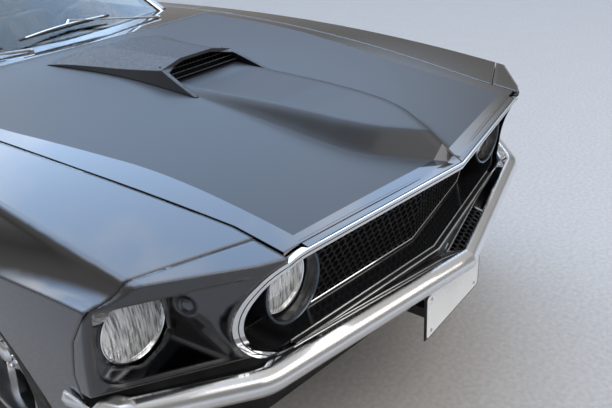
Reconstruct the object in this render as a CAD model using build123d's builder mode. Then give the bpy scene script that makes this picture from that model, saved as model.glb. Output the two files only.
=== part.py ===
from build123d import *
import os

# Two-door fastback muscle car, modelled in millimetres.
# The front of the car faces -Y, its left side is +X, +Z is up, and the ground is Z = 0.

# Main places along the car
wheelbase = 2743.0
front_axle_y = -1435.0
rear_axle_y = front_axle_y + wheelbase
door_front_y = -635.0
door_rear_y = 530.0
door_bottom_z = 285.0
quarter_split_y = 900.0
tail_y = 2335.0
bumper_reach_y = 2380.0
boot_front_y = 1755.0
boot_half_width = 570.0

# Wheels and tyres
half_track = 743.0
tyre_radius = 330.0
tyre_width = 220.0
tyre_wall = 14.0
rim_radius = 190.0
rim_lip_radius = 203.0
rim_wall = 7.0
rim_width = 176.0
drum_radius = 132.0
front_arch_radius = 376.0
rear_arch_radius = 368.0
kingpin_x = 672.0
spindle_radius = 16.0
hub_clearance = 0.3

# Frame
rail_x = 400.0

# Walls and gaps
skin = 16.0
side_wall = 90.0
door_depth = 80.0
shut_gap = 5.0
panel_gap = 3.0
seat_gap = 0.3
roof_wall = 28.0
glass_thickness = 5.0
glass_inset = 6.0

# Curves of the lower body's cross-section
side_bulge = 14.0
edge_bulge = 2.0
cove_share = 0.09
waist_share = 0.3

# Stations of the lower body, front to tail. Columns:
# y, crown z, shoulder x, shoulder z, ridge x, ridge z, waist x, waist z, sill x, sill z
LOWER = (
    (-2360.0, 748.0, 745.0, 733.0, 765.0, 722.0, 838.0, 704.0, 790.0, 300.0),
    (-2050.0, 800.0, 775.0, 784.0, 797.0, 770.0, 857.0, 745.0, 830.0, 300.0),
    (-1435.0, 872.0, 784.0, 857.0, 806.0, 842.0, 893.0, 718.0, 865.0, 235.0),
    (-640.0, 912.0, 782.0, 896.0, 803.0, 880.0, 903.0, 718.0, 862.0, 205.0),
    (300.0, 930.0, 772.0, 905.0, 793.0, 888.0, 905.0, 714.0, 865.0, 205.0),
    (1308.0, 962.0, 775.0, 925.0, 796.0, 908.0, 905.0, 726.0, 868.0, 235.0),
    (1900.0, 960.0, 765.0, 928.0, 785.0, 910.0, 890.0, 757.0, 850.0, 290.0),
    (2345.0, 945.0, 745.0, 918.0, 765.0, 900.0, 868.0, 784.0, 820.0, 330.0),
)

# Stations of the roof and glass form. Columns: y, base x, rail x, rail z, crown z
WINDSCREEN = (
    (-800.0, 735.0, 675.0, 738.0, 866.0),
    (-75.0, 740.0, 575.0, 1198.0, 1243.0),
)
ROOF = (
    WINDSCREEN[1],
    (150.0, 742.0, 590.0, 1226.0, 1278.0),
    (480.0, 745.0, 585.0, 1212.0, 1264.0),
    (880.0, 748.0, 560.0, 1142.0, 1198.0),
)
BACKLIGHT = (
    ROOF[3],
    (1300.0, 740.0, 545.0, 1035.0, 1085.0),
    (1740.0, 705.0, 520.0, 915.0, 958.0),
)
roof_base_z = 680.0

# Half outlines in plan, as (x, y)
NOSE_LINE = ((0.0, -2333.0), (549.0, -2252.0), (607.0, -2222.0), (855.0, -2049.0), (930.0, -1997.0))
SHUT_LINE = ((534.0, -2168.0), (855.0, -2049.0), (930.0, -2021.0))
# The same joint seen from the side, as (y, z), from the fender's corner down
SHUT_SIDE = ((-2049.0, 745.0), (-1993.0, 664.0), (-1962.0, 570.0), (-1955.0, 200.0))
nose_top_z = 755.0
nose_slope = 0.226
hood_front_x = 545.0
hood_rear_x = 690.0
hood_rear_y = -785.0
hood_rear_mid_y = -850.0
# Points along the hood's side edge, as (x, y): straight at first, then two arcs
HOOD_SIDE = ((545.0, -2110.0), (574.0, -1910.0), (606.0, -1690.0), (656.0, -1240.0))
hood_edge_drop = 14.0
moulding_depth = 16.0
moulding_width = 18.0
cowl_half_width = 697.0
cowl_rear_y = -500.0

# Front lamps and grille
lamp_radius = 71.0
lamp_rim = 9.0
outer_lamp_x, outer_lamp_y, outer_lamp_z = 748.0, -2000.0, 625.0
inner_lamp_x, inner_lamp_y, inner_lamp_z = 477.0, -2150.0, 633.0
bucket_radius = 87.0
bucket_wall = 7.0
bucket_reach = 40.0
marker_z = 655.0
marker_radius = 19.0
grille_half_width = 640.0
grille_low_z = 482.0
grille_high_z = 757.0
grille_recess = 84.0
shroud_depth = 130.0
shroud_back = 6.0
mesh_half_width = 384.0
mesh_pitch = 44.0
mesh_bar = 7.0
lamp_depth = 34.0


# Outlines and forms that more than one piece is cut from
def plan_prism(points, low=100.0, high=1400.0):
    """An outline in plan, as (x, y), from height low to height high."""
    with BuildPart() as prism:
        with BuildSketch(Plane.XY.offset(low)):
            with BuildLine():
                Polyline(*points, close=True)
            make_face()
        extrude(amount=high - low)
    return prism.part


def side_prism(points, near=-1000.0, far=1000.0):
    """An outline in side view, as (y, z), from x near to x far."""
    with BuildPart() as prism:
        with BuildSketch(Plane.YZ.offset(near)):
            with BuildLine():
                Polyline(*points, close=True)
            make_face()
        extrude(amount=far - near)
    return prism.part


def block(x_range, y_range, z_range):
    """A plain block between the given limits."""
    size = [high - low for low, high in (x_range, y_range, z_range)]
    middle = [(high + low) / 2 for low, high in (x_range, y_range, z_range)]
    with BuildPart() as piece:
        with Locations(tuple(middle)):
            Box(*size)
    return piece.part


def across(radius, y, z, near, far):
    """A round bar across the car, along X."""
    with BuildPart() as bar:
        with BuildSketch(Plane.YZ.offset(near)):
            with Locations((y, z)):
                Circle(radius)
        extrude(amount=far - near)
    return bar.part


def along(radius, x, z, front, back):
    """A round bar along the car, along Y."""
    with BuildPart() as bar:
        with BuildSketch(Plane.XZ.offset(-back)):
            with Locations((x, z)):
                Circle(radius)
        extrude(amount=back - front)
    return bar.part


def both_sides(points):
    """A half outline with its mirror image, as one closed loop."""
    return (*points, *((-x, y) for x, y in reversed(points) if x != 0.0))


def body_section(row, inset, drop):
    """One cross-section of the lower body, set inwards by inset and lowered by drop."""
    y, crown_z, shoulder_x, shoulder_z, ridge_x, ridge_z, waist_x, waist_z, sill_x, sill_z = row
    crown = Vector(0.0, crown_z - inset)
    shoulder = Vector(shoulder_x - inset, shoulder_z - inset)
    ridge = Vector(ridge_x - inset, ridge_z - inset)
    waist = Vector(waist_x - inset, waist_z - inset * waist_share)
    sill = Vector(sill_x - inset, sill_z - drop)
    edge = (shoulder + ridge) / 2 + Vector(edge_bulge, edge_bulge)
    cove = (ridge + waist) / 2 - (waist - ridge).rotate(Axis.Z, 90.0) * cove_share
    side = (waist + sill) / 2 + Vector(side_bulge, 0.0)
    half = ((shoulder, edge, ridge), (ridge, cove, waist), (waist, side, sill))
    with BuildSketch(Plane.XZ.offset(-y)) as section:
        with BuildLine():
            ThreePointArc((-shoulder.X, shoulder.Y), crown, shoulder)
            for arc in half:
                ThreePointArc(*arc)
            Line(sill, (-sill.X, sill.Y))
            for arc in reversed(half):
                ThreePointArc(*[(-point.X, point.Y) for point in reversed(arc)])
        make_face()
    return section.sketch


def roof_section(row, inset):
    """One cross-section of the roof and glass form, set inwards by inset."""
    y, base_x, rail_x, rail_z, crown_z = row
    base_x, rail_x = base_x - inset, rail_x - inset * 0.8
    rail_z, crown_z = rail_z - inset * 0.8, crown_z - inset
    with BuildSketch(Plane.XZ.offset(-y)) as section:
        with BuildLine():
            ThreePointArc((-rail_x, rail_z), (0, crown_z), (rail_x, rail_z))
            Polyline(
                (rail_x, rail_z),
                (base_x, roof_base_z),
                (-base_x, roof_base_z),
                (-rail_x, rail_z),
            )
        make_face()
    return section.sketch


def body_form(inset, drop=0.0):
    """The whole lower body as one solid, set inwards by inset."""
    with BuildPart() as form:
        loft(sections=[body_section(row, inset, drop) for row in LOWER])
    return form.part


def roof_form(inset):
    """Windscreen, roof and backlight as one solid, set inwards by inset."""
    with BuildPart() as form:
        for rows in (WINDSCREEN, ROOF, BACKLIGHT):
            loft(sections=[roof_section(row, inset) for row in rows])
    return form.part


def behind_line(line, setback, slope=0.0, low=100.0, high=1400.0):
    """Everything behind a half outline in plan and its mirror image, set back by setback.

    The outline holds at nose_top_z, and the surface leans back by slope below it."""
    front = [(x, y + setback + slope * (nose_top_z - low)) for x, y in line]
    if front[0][0] > 0.0:
        front = [(0.0, front[0][1]), *front]
    with BuildPart() as region:
        with BuildSketch(Plane.XY.offset(low)):
            with BuildLine():
                Polyline(*both_sides((*front, (980.0, front[-1][1]), (980.0, 3000.0), (0.0, 3000.0))), close=True)
            make_face()
        lean = Vector(0, -slope, 1)
        extrude(amount=(high - low) * lean.length, dir=lean.normalized())
    return region.part


def behind_nose(setback):
    """Everything behind the leaning nose face, set back by setback."""
    return behind_line(NOSE_LINE, setback, nose_slope)


def hood_plan(grow):
    """The hood's outline in plan, grown outwards, as a prism."""
    setback = moulding_depth + hood_edge_drop * nose_slope + seat_gap - grow
    tip_y, corner_y = NOSE_LINE[0][1] + setback, NOSE_LINE[1][1] + setback
    corner_x, rear_x = hood_front_x + grow, hood_rear_x + grow
    rear_y, rear_mid_y = hood_rear_y + grow, hood_rear_mid_y + grow
    bend, front_mid, joint, rear_mid = [(x + grow, y) for x, y in HOOD_SIDE]
    side_arcs = ((bend, front_mid, joint), (joint, rear_mid, (rear_x, rear_y)))
    with BuildPart() as prism:
        with BuildSketch(Plane.XY.offset(560.0)):
            with BuildLine():
                Polyline((0, tip_y), (corner_x, corner_y), bend)
                for arc in side_arcs:
                    ThreePointArc(*arc)
                ThreePointArc((rear_x, rear_y), (0, rear_mid_y), (-rear_x, rear_y))
                for arc in reversed(side_arcs):
                    ThreePointArc(*[(-x, y) for x, y in reversed(arc)])
                Polyline((-bend[0], bend[1]), (-corner_x, corner_y), (0, tip_y))
            make_face()
        extrude(amount=600.0)
    return prism.part


def grille_slot(grow):
    """The grille opening in front view, with round ends, grown outwards, as a prism along Y."""
    height = grille_high_z - grille_low_z
    with BuildPart() as prism:
        with BuildSketch(Plane.XZ.offset(1960.0)):
            with Locations((0, (grille_high_z + grille_low_z) / 2)):
                SlotOverall(2 * (grille_half_width + grow), height + 2 * grow)
        extrude(amount=500.0)
    return prism.part


os.makedirs("parts", exist_ok=True)

body_whole = body_form(0.0) - block((-1000, 1000), (tail_y, 2500), (0, 1400))
body_outer = body_whole & behind_nose(0.0)
body_skin = body_form(skin, drop=60.0)
body_clear = body_form(skin + seat_gap, drop=60.0)
body_wall = body_form(side_wall, drop=100.0)
body_wall_clear = body_form(side_wall + seat_gap, drop=100.0)
body_door = body_form(door_depth, drop=100.0)
body_above = body_form(-seat_gap)
roof_outer = roof_form(0.0)
roof_inner = roof_form(roof_wall)
pane_outer = roof_form(glass_inset)
pane_inner = roof_form(glass_inset + glass_thickness)

# Wheel arches, open through the side of the body and below
wheel_z = tyre_radius
arch_inner_x = 448.0
arches = []
for arch_y, arch_radius in ((front_axle_y, front_arch_radius), (rear_axle_y, rear_arch_radius)):
    with BuildPart() as arch:
        with BuildSketch(Plane.YZ.offset(arch_inner_x)):
            with Locations((arch_y, wheel_z)):
                Circle(arch_radius)
            with Locations((arch_y, wheel_z / 2)):
                Rectangle(2 * arch_radius, wheel_z)
        extrude(amount=1000.0 - arch_inner_x)
        mirror(about=Plane.YZ)
    arches.append(arch.part)
front_arch, rear_arch = arches

# Hood with its raised centre, which narrows to a ridge at the nose. Columns:
# y, top half width, top z, base half width, base z
DOME = (
    (-1300.0, 134.0, 893.0, 154.0, 874.0),
    (-1550.0, 130.0, 871.0, 153.0, 852.0),
    (-1700.0, 122.0, 867.5, 153.0, 837.0),
    (-1850.0, 112.0, 862.5, 152.0, 820.0),
    (-1960.0, 104.0, 855.5, 151.0, 806.0),
    (-2050.0, 95.0, 847.0, 150.0, 792.0),
    (-2110.0, 79.0, 840.0, 141.0, 784.0),
    (-2150.0, 62.0, 834.0, 128.0, 776.0),
    (-2240.0, 4.0, 822.0, 70.0, 758.0),
    (-2328.0, 1.0, 755.0, 8.0, 742.0),
)


def dome_form(lift):
    """The raised centre of the hood as a solid, lifted."""
    sections = []
    for y, top_x, top_z, base_x, base_z in DOME:
        with BuildSketch(Plane.XZ.offset(-y)) as row:
            half = ((top_x, top_z + lift), (base_x, base_z + lift), (base_x, base_z - 2 * skin))
            Polygon(*half, *[(-x, z) for x, z in reversed(half)], align=None)
        sections.append(row.sketch)
    with BuildPart() as dome:
        loft(sections=sections, ruled=True)
    return dome.part


with BuildPart() as hood:
    add(body_outer & hood_plan(0.0))
    add(dome_form(0.0) & hood_plan(0.0))
    add(body_skin, mode=Mode.SUBTRACT)
hood.part.label = "hood"
export_step(hood.part, "parts/hood.step")

# Air scoop, open to the front, fixed down on the hood. Columns:
# y, ridge half width, ridge z, top half width, top z, base half width
SCOOP = (
    (-1600.0, 62.0, 930.0, 134.0, 922.0, 182.0),
    (-1445.0, 66.0, 932.0, 145.0, 914.0, 199.0),
    (-1190.0, 76.0, 938.0, 178.0, 905.0, 236.0),
    (-1000.0, 84.0, 928.0, 222.0, 904.0, 262.0),
    (-915.0, 90.0, 898.0, 242.0, 892.0, 266.0),
)
scoop_base_z = 800.0
scoop_wall = 10.0
scoop_cavity_end_y = -1120.0
# The slanted cut of the mouth in side view, as (y, z)
SCOOP_MOUTH = (
    (-1700.0, 1000.0),
    (-1430.0, 1000.0),
    (-1445.0, 914.0),
    (-1562.0, 870.0),
    (-1600.0, 856.0),
    (-1700.0, 850.0),
)


def scoop_form(inset):
    """The scoop before its mouth is cut, as a solid, set inwards by inset."""
    sections = []
    for y, ridge_x, ridge_z, top_x, top_z, base_x in SCOOP:
        edge_x, edge_z = top_x - inset, top_z - inset
        half = ((ridge_x - inset, ridge_z - inset), (edge_x, edge_z), (base_x - inset, scoop_base_z))
        with BuildSketch(Plane.XZ.offset(-y)) as row:
            Polygon(*half, *[(-x, z) for x, z in reversed(half)], align=None)
        sections.append(row.sketch)
    with BuildPart() as form:
        loft(sections=sections)
    return form.part


with BuildPart() as hood_scoop:
    add(scoop_form(0.0))
    add(side_prism(SCOOP_MOUTH), mode=Mode.SUBTRACT)
    add(scoop_form(scoop_wall) & block((-400, 400), (-1700, scoop_cavity_end_y), (0, 2000)), mode=Mode.SUBTRACT)
    add(body_above, mode=Mode.SUBTRACT)
    add(dome_form(seat_gap), mode=Mode.SUBTRACT)
hood_scoop.part.label = "hood_scoop"
export_step(hood_scoop.part, "parts/hood_scoop.step")

# Bright moulding that runs along the hood's front edge and round the grille
with BuildPart() as grille_surround:
    add(grille_slot(0.0) - grille_slot(-moulding_width))
    add(behind_nose(0.0), mode=Mode.INTERSECT)
    add(behind_nose(moulding_depth), mode=Mode.SUBTRACT)
grille_surround.part.label = "grille_surround"
export_step(grille_surround.part, "parts/grille_surround.step")

# Black shroud behind the moulding, closed at the back, with the buckets of the inner lamps
with BuildPart() as grille_shroud:
    add(grille_slot(-seat_gap) - grille_slot(-moulding_width))
    add(grille_slot(-seat_gap) & behind_nose(shroud_depth - shroud_back))
    add(behind_nose(moulding_depth), mode=Mode.INTERSECT)
    add(behind_nose(shroud_depth), mode=Mode.SUBTRACT)
    add(body_form(skin + shut_gap), mode=Mode.INTERSECT)
    for side in (-1, 1):
        bucket_front_y = inner_lamp_y - bucket_reach
        bucket = along(bucket_radius, side * inner_lamp_x, inner_lamp_z, bucket_front_y, -2080.0)
        add(bucket - behind_nose(shroud_depth))
    for side in (-1, 1):
        opening_radius = bucket_radius - bucket_wall
        opening = along(opening_radius, side * inner_lamp_x, inner_lamp_z, -2400.0, inner_lamp_y + 2.0)
        add(opening, mode=Mode.SUBTRACT)
        seat_end_y = inner_lamp_y + lamp_depth + seat_gap
        seat = along(lamp_radius + seat_gap, side * inner_lamp_x, inner_lamp_z, -2400.0, seat_end_y)
        add(seat, mode=Mode.SUBTRACT)
grille_shroud.part.label = "grille_shroud"
export_step(grille_shroud.part, "parts/grille_shroud.step")

# Honeycomb mesh, set back inside the shroud
mesh_depth = 8.0
with BuildPart() as grille:
    with BuildSketch(Plane.XZ.offset(1960.0)):
        with Locations((0, (grille_high_z + grille_low_z) / 2)):
            Rectangle(2 * mesh_half_width, grille_high_z - grille_low_z - 2 * moulding_width - 2 * seat_gap)
            with HexLocations(mesh_pitch / 2, 20, 6, major_radius=False):
                RegularPolygon((mesh_pitch - mesh_bar) / 2, 6, major_radius=False, mode=Mode.SUBTRACT)
    extrude(amount=500.0)
    add(behind_nose(grille_recess), mode=Mode.INTERSECT)
    add(behind_nose(grille_recess + mesh_depth), mode=Mode.SUBTRACT)
    add(body_form(skin + 2 * shut_gap), mode=Mode.INTERSECT)
grille.part.label = "grille"
export_step(grille.part, "parts/grille.step")

# Recess for the outer lamp: a side wall, a back wall and a floor that rises to the rear. Its
# outline in plan, as (x, y), and in front view, as (x, z)
RECESS_PLAN = ((590.0, -2283.0), (640.0, -2150.0), (689.0, -2020.0), (846.0, -2004.0), (846.0, -2283.0))
recess_low_z = 535.0
recess_corner_radius = 50.0
recess_outer_x = RECESS_PLAN[3][0]
# Profile of the recess square to the nose line. Columns: distance behind the line, height
RECESS = ((-60.0, 738.0), (190.0, 730.0), (190.0, 605.0), (43.0, 535.0), (-60.0, 535.0))
nose_direction = Vector(NOSE_LINE[3][0] - NOSE_LINE[2][0], NOSE_LINE[3][1] - NOSE_LINE[2][1], 0).normalized()
recess_plane = Plane(
    origin=(*NOSE_LINE[3], 0),
    x_dir=Vector(0, 0, 1).cross(nose_direction),
    z_dir=nose_direction,
)
with BuildPart() as recess:
    with BuildSketch(recess_plane):
        Polygon(*RECESS, align=None)
    extrude(amount=400.0, both=True)
    with BuildSketch(Plane.XZ.offset(1900.0)) as recess_front:
        Polygon((500.0, 0.0), (500.0, 800.0), (recess_outer_x, 800.0), (recess_outer_x, 0.0), align=None)
    extrude(amount=500.0, mode=Mode.INTERSECT)
    add(plan_prism(RECESS_PLAN), mode=Mode.INTERSECT)
    with BuildSketch(Plane.XZ.offset(1900.0)):
        with Locations((recess_outer_x - recess_corner_radius, recess_low_z + recess_corner_radius)):
            Rectangle(2 * recess_corner_radius, 2 * recess_corner_radius, align=(Align.MIN, Align.MAX))
            Circle(recess_corner_radius, mode=Mode.SUBTRACT)
    extrude(amount=500.0, mode=Mode.SUBTRACT)
    mirror(about=Plane.YZ)
wall_start, wall_end = Vector(*RECESS_PLAN[1]), Vector(*RECESS_PLAN[2])
marker_place = wall_start + (wall_end - wall_start) * 0.58
marker_normal = Vector(wall_end.Y - wall_start.Y, wall_start.X - wall_end.X).normalized()


def marker_bar(radius, depth, reach):
    """A round bar square to the recess's side wall, at the small lamp on each side."""
    with BuildPart() as bar:
        origin = Vector(marker_place.X, marker_place.Y, marker_z) - marker_normal * depth
        with BuildSketch(Plane(origin=origin, z_dir=marker_normal)):
            Circle(radius)
        extrude(amount=depth + reach)
        mirror(about=Plane.YZ)
    return bar.part


# Headlamps and the small round lamps beside them
lens_dome = 9.0
lens_curve = (lamp_radius**2 + lens_dome**2) / (2 * lens_dome)
with BuildPart() as lens_sphere:
    Sphere(lens_curve)
lens_ball = lens_sphere.part
marker_depth = 14.0
with BuildPart() as front_lamps:
    for x, y, z in (
        (outer_lamp_x, outer_lamp_y, outer_lamp_z),
        (inner_lamp_x, inner_lamp_y, inner_lamp_z),
    ):
        lens = along(lamp_radius, x, z, y, y + lamp_depth) & Pos(x, y + lens_curve, z) * lens_ball
        add(lens)
    mirror(about=Plane.YZ)
    add(marker_bar(marker_radius, marker_depth, 3.0))
front_lamps.part.label = "front_lamps"
export_step(front_lamps.part, "parts/front_lamps.step")

# Bright rims of the outer headlamps
with BuildPart() as lamp_bezels:
    add(along(lamp_radius + lamp_rim, outer_lamp_x, outer_lamp_z, outer_lamp_y - 4, outer_lamp_y + 24))
    add(along(lamp_radius + seat_gap, outer_lamp_x, outer_lamp_z, -2100, -1900), mode=Mode.SUBTRACT)
    mirror(about=Plane.YZ)
lamp_bezels.part.label = "lamp_bezels"
export_step(lamp_bezels.part, "parts/lamp_bezels.step")

# Fender extensions: the brows over the outer headlamps with the recess below
extension_low_z = 524.0
extension_inner_x = 552.0
extension_wall = 5.0


def extension_zone(setback):
    """The region ahead of the joint between fender and extension, as seen from above and from the side."""
    top = block((-980, 980), (-2500, -1900), (SHUT_SIDE[0][1] - setback, 1000)) - behind_line(SHUT_LINE, -setback)
    side_points = [(y - setback, z) for y, z in SHUT_SIDE]
    side = side_prism(((-2500, side_points[0][1]), *side_points, (-2500, 200)))
    return top + side


shut_zone = extension_zone(panel_gap)
shut_zone_wide = extension_zone(0.0)
with BuildPart() as fender_extensions:
    add(body_outer & shut_zone)
    add(block((-980, 980), (-2500, -1900), (0, extension_low_z)), mode=Mode.SUBTRACT)
    add(block((-extension_inner_x, extension_inner_x), (-2500, -1900), (0, 1000)), mode=Mode.SUBTRACT)
    add(hood_plan(shut_gap), mode=Mode.SUBTRACT)
    add(grille_slot(seat_gap), mode=Mode.SUBTRACT)
    pocket = recess.part & extension_zone(panel_gap + extension_wall)
    add(pocket - grille_slot(extension_wall), mode=Mode.SUBTRACT)
    for side in (-1, 1):
        bore_front_y = outer_lamp_y - 26.0
        lamp_seat = along(lamp_radius + lamp_rim + seat_gap, side * outer_lamp_x, outer_lamp_z, bore_front_y, -1850)
        add(lamp_seat, mode=Mode.SUBTRACT)
    add(marker_bar(marker_radius + seat_gap, marker_depth + seat_gap, 50.0), mode=Mode.SUBTRACT)
fender_extensions.part.label = "fender_extensions"
export_step(fender_extensions.part, "parts/fender_extensions.step")

# Front fenders
fender_rear_y = door_front_y - 2 * shut_gap
with BuildPart() as fenders:
    add(body_outer)
    add(body_skin, mode=Mode.SUBTRACT)
    add(block((-1000, 1000), (fender_rear_y, 2500), (0, 1400)), mode=Mode.SUBTRACT)
    add(shut_zone_wide, mode=Mode.SUBTRACT)
    add(hood_plan(shut_gap), mode=Mode.SUBTRACT)
    add(block((-cowl_half_width - panel_gap, cowl_half_width + panel_gap), (-900, 0), (0, 1400)), mode=Mode.SUBTRACT)
    add(block((-500, 500), (-2500, -1900), (0, 1400)), mode=Mode.SUBTRACT)
    add(front_arch, mode=Mode.SUBTRACT)
fenders.part.label = "fenders"
export_step(fenders.part, "parts/fenders.step")

# Valance below the bumper, wrapped round to the fenders
valance_setback = 20.0
valance_low_z = 262.0
with BuildPart() as front_valance:
    add(body_outer & behind_nose(valance_setback))
    add(body_skin & behind_nose(valance_setback + skin), mode=Mode.SUBTRACT)
    add(shut_zone, mode=Mode.INTERSECT)
    add(block((-980, 980), (-2500, -1900), (valance_low_z, extension_low_z - seat_gap)), mode=Mode.INTERSECT)
    add(grille_slot(seat_gap), mode=Mode.SUBTRACT)
    for side in (-1, 1):
        add(block((side * rail_x - 25, side * rail_x + 25), (-2500, -2000), (445, 485)), mode=Mode.SUBTRACT)
front_valance.part.label = "front_valance"
export_step(front_valance.part, "parts/front_valance.step")

# Front bumper, pointed in the middle and swept back round the corners
BUMPER_LINE = ((0.0, -bumper_reach_y), (622.0, -2245.0), (846.0, -2068.0), (886.0, -1915.0))
BUMPER_RADII = (150.0, 60.0)
# Its section. Columns: height, distance behind the front line
BUMPER_FACE = ((455.0, 22.0), (478.0, 4.0), (497.0, 0.0), (512.0, 8.0), (521.0, 28.0))
BUMPER_TOP = ((488.0, 92.0), (523.0, 28.5))
bumper_low_z = BUMPER_FACE[0][0]
bumper_back = 36.0
bumper_least_radius = 6.0
bumper_flange_z = 484.0
bumper_stand_off = 5.0


def bumper_outline(setback, z):
    """Everything behind the bumper's front line at one height, set back from the line."""
    starts, ends = BUMPER_LINE[:-1], BUMPER_LINE[1:]
    edges = []
    for start, end in zip(starts, ends):
        start, end = Vector(*start), Vector(*end)
        along_edge = (end - start).normalized()
        inwards = Vector(-along_edge.Y, along_edge.X)
        edges.append((start + inwards * setback, along_edge))
    first, first_along = edges[0]
    points = [first - first_along * (first.X / first_along.X)]
    for (a, a_along), (b, b_along) in zip(edges[:-1], edges[1:]):
        across_edges = a_along.X * b_along.Y - a_along.Y * b_along.X
        gap = b - a
        points.append(a + a_along * ((gap.X * b_along.Y - gap.Y * b_along.X) / across_edges))
    last, last_along = edges[-1]
    end_y = BUMPER_LINE[-1][1]
    points.append(last + last_along * ((end_y - last.Y) / last_along.Y))
    with BuildSketch(Plane.XY.offset(z)) as outline:
        with BuildLine() as border:
            tip, inner, outer, end = points
            Polyline(tip, inner, outer, end, (0.0, end_y), tip)
        make_face()
        for corner, radius in zip((inner, outer), BUMPER_RADII):
            vertex = outline.vertices().sort_by_distance((corner.X, corner.Y, z))[0]
            fillet(vertex, max(radius - setback, bumper_least_radius))
        mirror(about=Plane.YZ)
    return outline.sketch


def bumper_region(levels):
    """Everything behind the bumper's front line between heights, as a solid."""
    with BuildPart() as region:
        loft(sections=[bumper_outline(setback, z) for z, setback in levels], ruled=True)
    return region.part


bumper_shell = bumper_region(BUMPER_FACE) - bumper_region(BUMPER_TOP)
with BuildPart() as front_bumper:
    add(bumper_shell)
    add(bumper_region(((0.0, bumper_back), (bumper_flange_z, bumper_back))), mode=Mode.SUBTRACT)
    add(bumper_region(((0.0, BUMPER_TOP[0][1]), (600.0, BUMPER_TOP[0][1]))), mode=Mode.SUBTRACT)
    add(body_form(-bumper_stand_off) & behind_nose(-bumper_stand_off), mode=Mode.SUBTRACT)
front_bumper_piece = front_bumper.part.solids().sort_by(SortBy.VOLUME)[-1]
front_bumper_piece.label = "front_bumper"
export_step(front_bumper_piece, "parts/front_bumper.step")

# Bracket for the front plate
plate_half_width = 152.5
plate_low_z = 318.0
with BuildPart() as plate_bracket:
    add(block((-plate_half_width, plate_half_width), (-2322, -2318), (plate_low_z, bumper_low_z - seat_gap)))
    for x in (-90, 90):
        add(block((x - 15, x + 15), (-2318, -2200), (350, 380)))
    add(behind_nose(valance_setback - seat_gap), mode=Mode.SUBTRACT)
plate_bracket.part.label = "plate_bracket"
export_step(plate_bracket.part, "parts/plate_bracket.step")

# Cowl between the hood and the windscreen
with BuildPart() as cowl_panel:
    add(body_outer & block((-cowl_half_width, cowl_half_width), (-900, cowl_rear_y), (600, 1000)))
    add(body_skin, mode=Mode.SUBTRACT)
    add(hood_plan(shut_gap), mode=Mode.SUBTRACT)
    add(roof_inner, mode=Mode.SUBTRACT)
cowl_panel.part.label = "cowl_panel"
export_step(cowl_panel.part, "parts/cowl_panel.step")

# Doors. The rear edge slants inwards so that it clears the body as the door swings
door_top_x = 660.0
pillar_foot_x = 712.0
pillar_foot_y = -425.0
shut_slant = 0.2
hinge_x = 909.0


def door_plan(grow):
    """The door's outline in plan, grown outwards, on both sides, as prisms."""
    outer_x = 1000.0
    rear_outer_y = door_rear_y + grow + (outer_x - hinge_x) * shut_slant
    rear_inner_y = door_rear_y + grow - (hinge_x - door_top_x + grow) * shut_slant
    points = (
        (outer_x, door_front_y - grow),
        (pillar_foot_x - grow, door_front_y - grow),
        (pillar_foot_x - grow, pillar_foot_y - grow),
        (door_top_x - grow, pillar_foot_y - grow),
        (door_top_x - grow, rear_inner_y),
        (outer_x, rear_outer_y),
    )
    with BuildPart() as prism:
        with BuildSketch(Plane.XY.offset(door_bottom_z - grow)):
            with BuildLine():
                Polyline(*points, close=True)
            make_face()
        extrude(amount=900.0)
        mirror(about=Plane.YZ)
    return prism.part


doors = (body_outer - body_door - roof_form(glass_inset + glass_thickness + 12.0)) & door_plan(0.0)
for name, door_side in (("door_left", 1), ("door_right", -1)):
    with BuildPart() as door:
        add(doors & block(sorted((0, door_side * 1000)), (-1000, 1000), (0, 1400)))
    door.part.label = name
    export_step(door.part, f"parts/{name}.step")

# Body sides: hinge posts, sills and quarter panels
with BuildPart() as body_side:
    add(body_outer - body_wall - block((-1000, 1000), (-2500, fender_rear_y), (0, 1400)))
    add(block((-1000, 1000), (quarter_split_y, 2500), (0, 1400)), mode=Mode.SUBTRACT)
    add((body_outer - body_skin) & block((-1000, 1000), (quarter_split_y, 2500), (0, 1400)))
    add((body_clear & body_whole) - body_wall & block((-1000, 1000), (fender_rear_y - 75, fender_rear_y), (0, 1400)))
    add(block((-cowl_half_width - panel_gap, cowl_half_width + panel_gap), (-900, cowl_rear_y + panel_gap), (0, 1400)), mode=Mode.SUBTRACT)
    add(door_plan(shut_gap), mode=Mode.SUBTRACT)
    add(roof_inner, mode=Mode.SUBTRACT)
    add(rear_arch, mode=Mode.SUBTRACT)
    add(block((-boot_half_width - shut_gap, boot_half_width + shut_gap), (boot_front_y - shut_gap, 2500), (600, 1400)), mode=Mode.SUBTRACT)
    add(front_arch, mode=Mode.SUBTRACT)
for name, body_half in (("body_side_left", 1), ("body_side_right", -1)):
    with BuildPart() as half:
        add(body_side.part & block(sorted((body_half * seat_gap / 2, body_half * 1000)), (-1000, 2500), (0, 1400)))
    half.part.label = name
    export_step(half.part, f"parts/{name}.step")

# Window outlines. The front and rear openings are cut from above, the side ones from the side
pillar_width = 45.0
screen_top_y = -120.0
SIDE_WINDOWS = (
    ((-440.0, 880.0), (-20.0, 1165.0), (440.0, 1178.0), (478.0, 880.0)),
    ((545.0, 880.0), (520.0, 1172.0), (640.0, 1155.0), (850.0, 1000.0), (840.0, 880.0)),
)


def screen_prism(shrink):
    """The windscreen opening in plan as a prism, shrunk inwards."""
    low_x = WINDSCREEN[0][2] - pillar_width - shrink
    high_x = WINDSCREEN[1][2] - pillar_width - shrink
    return plan_prism(((-low_x, -800.0), (-high_x, screen_top_y - shrink), (high_x, screen_top_y - shrink), (low_x, -800.0)))


def backlight_prism(shrink):
    """The backlight opening in plan as a prism, shrunk inwards."""
    front_y, rear_y = 905.0 + shrink, 1640.0 - shrink
    front_x, rear_x = 500.0 - shrink, 462.0 - shrink
    return plan_prism(((-front_x, front_y), (-rear_x, rear_y), (rear_x, rear_y), (front_x, front_y)))


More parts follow.
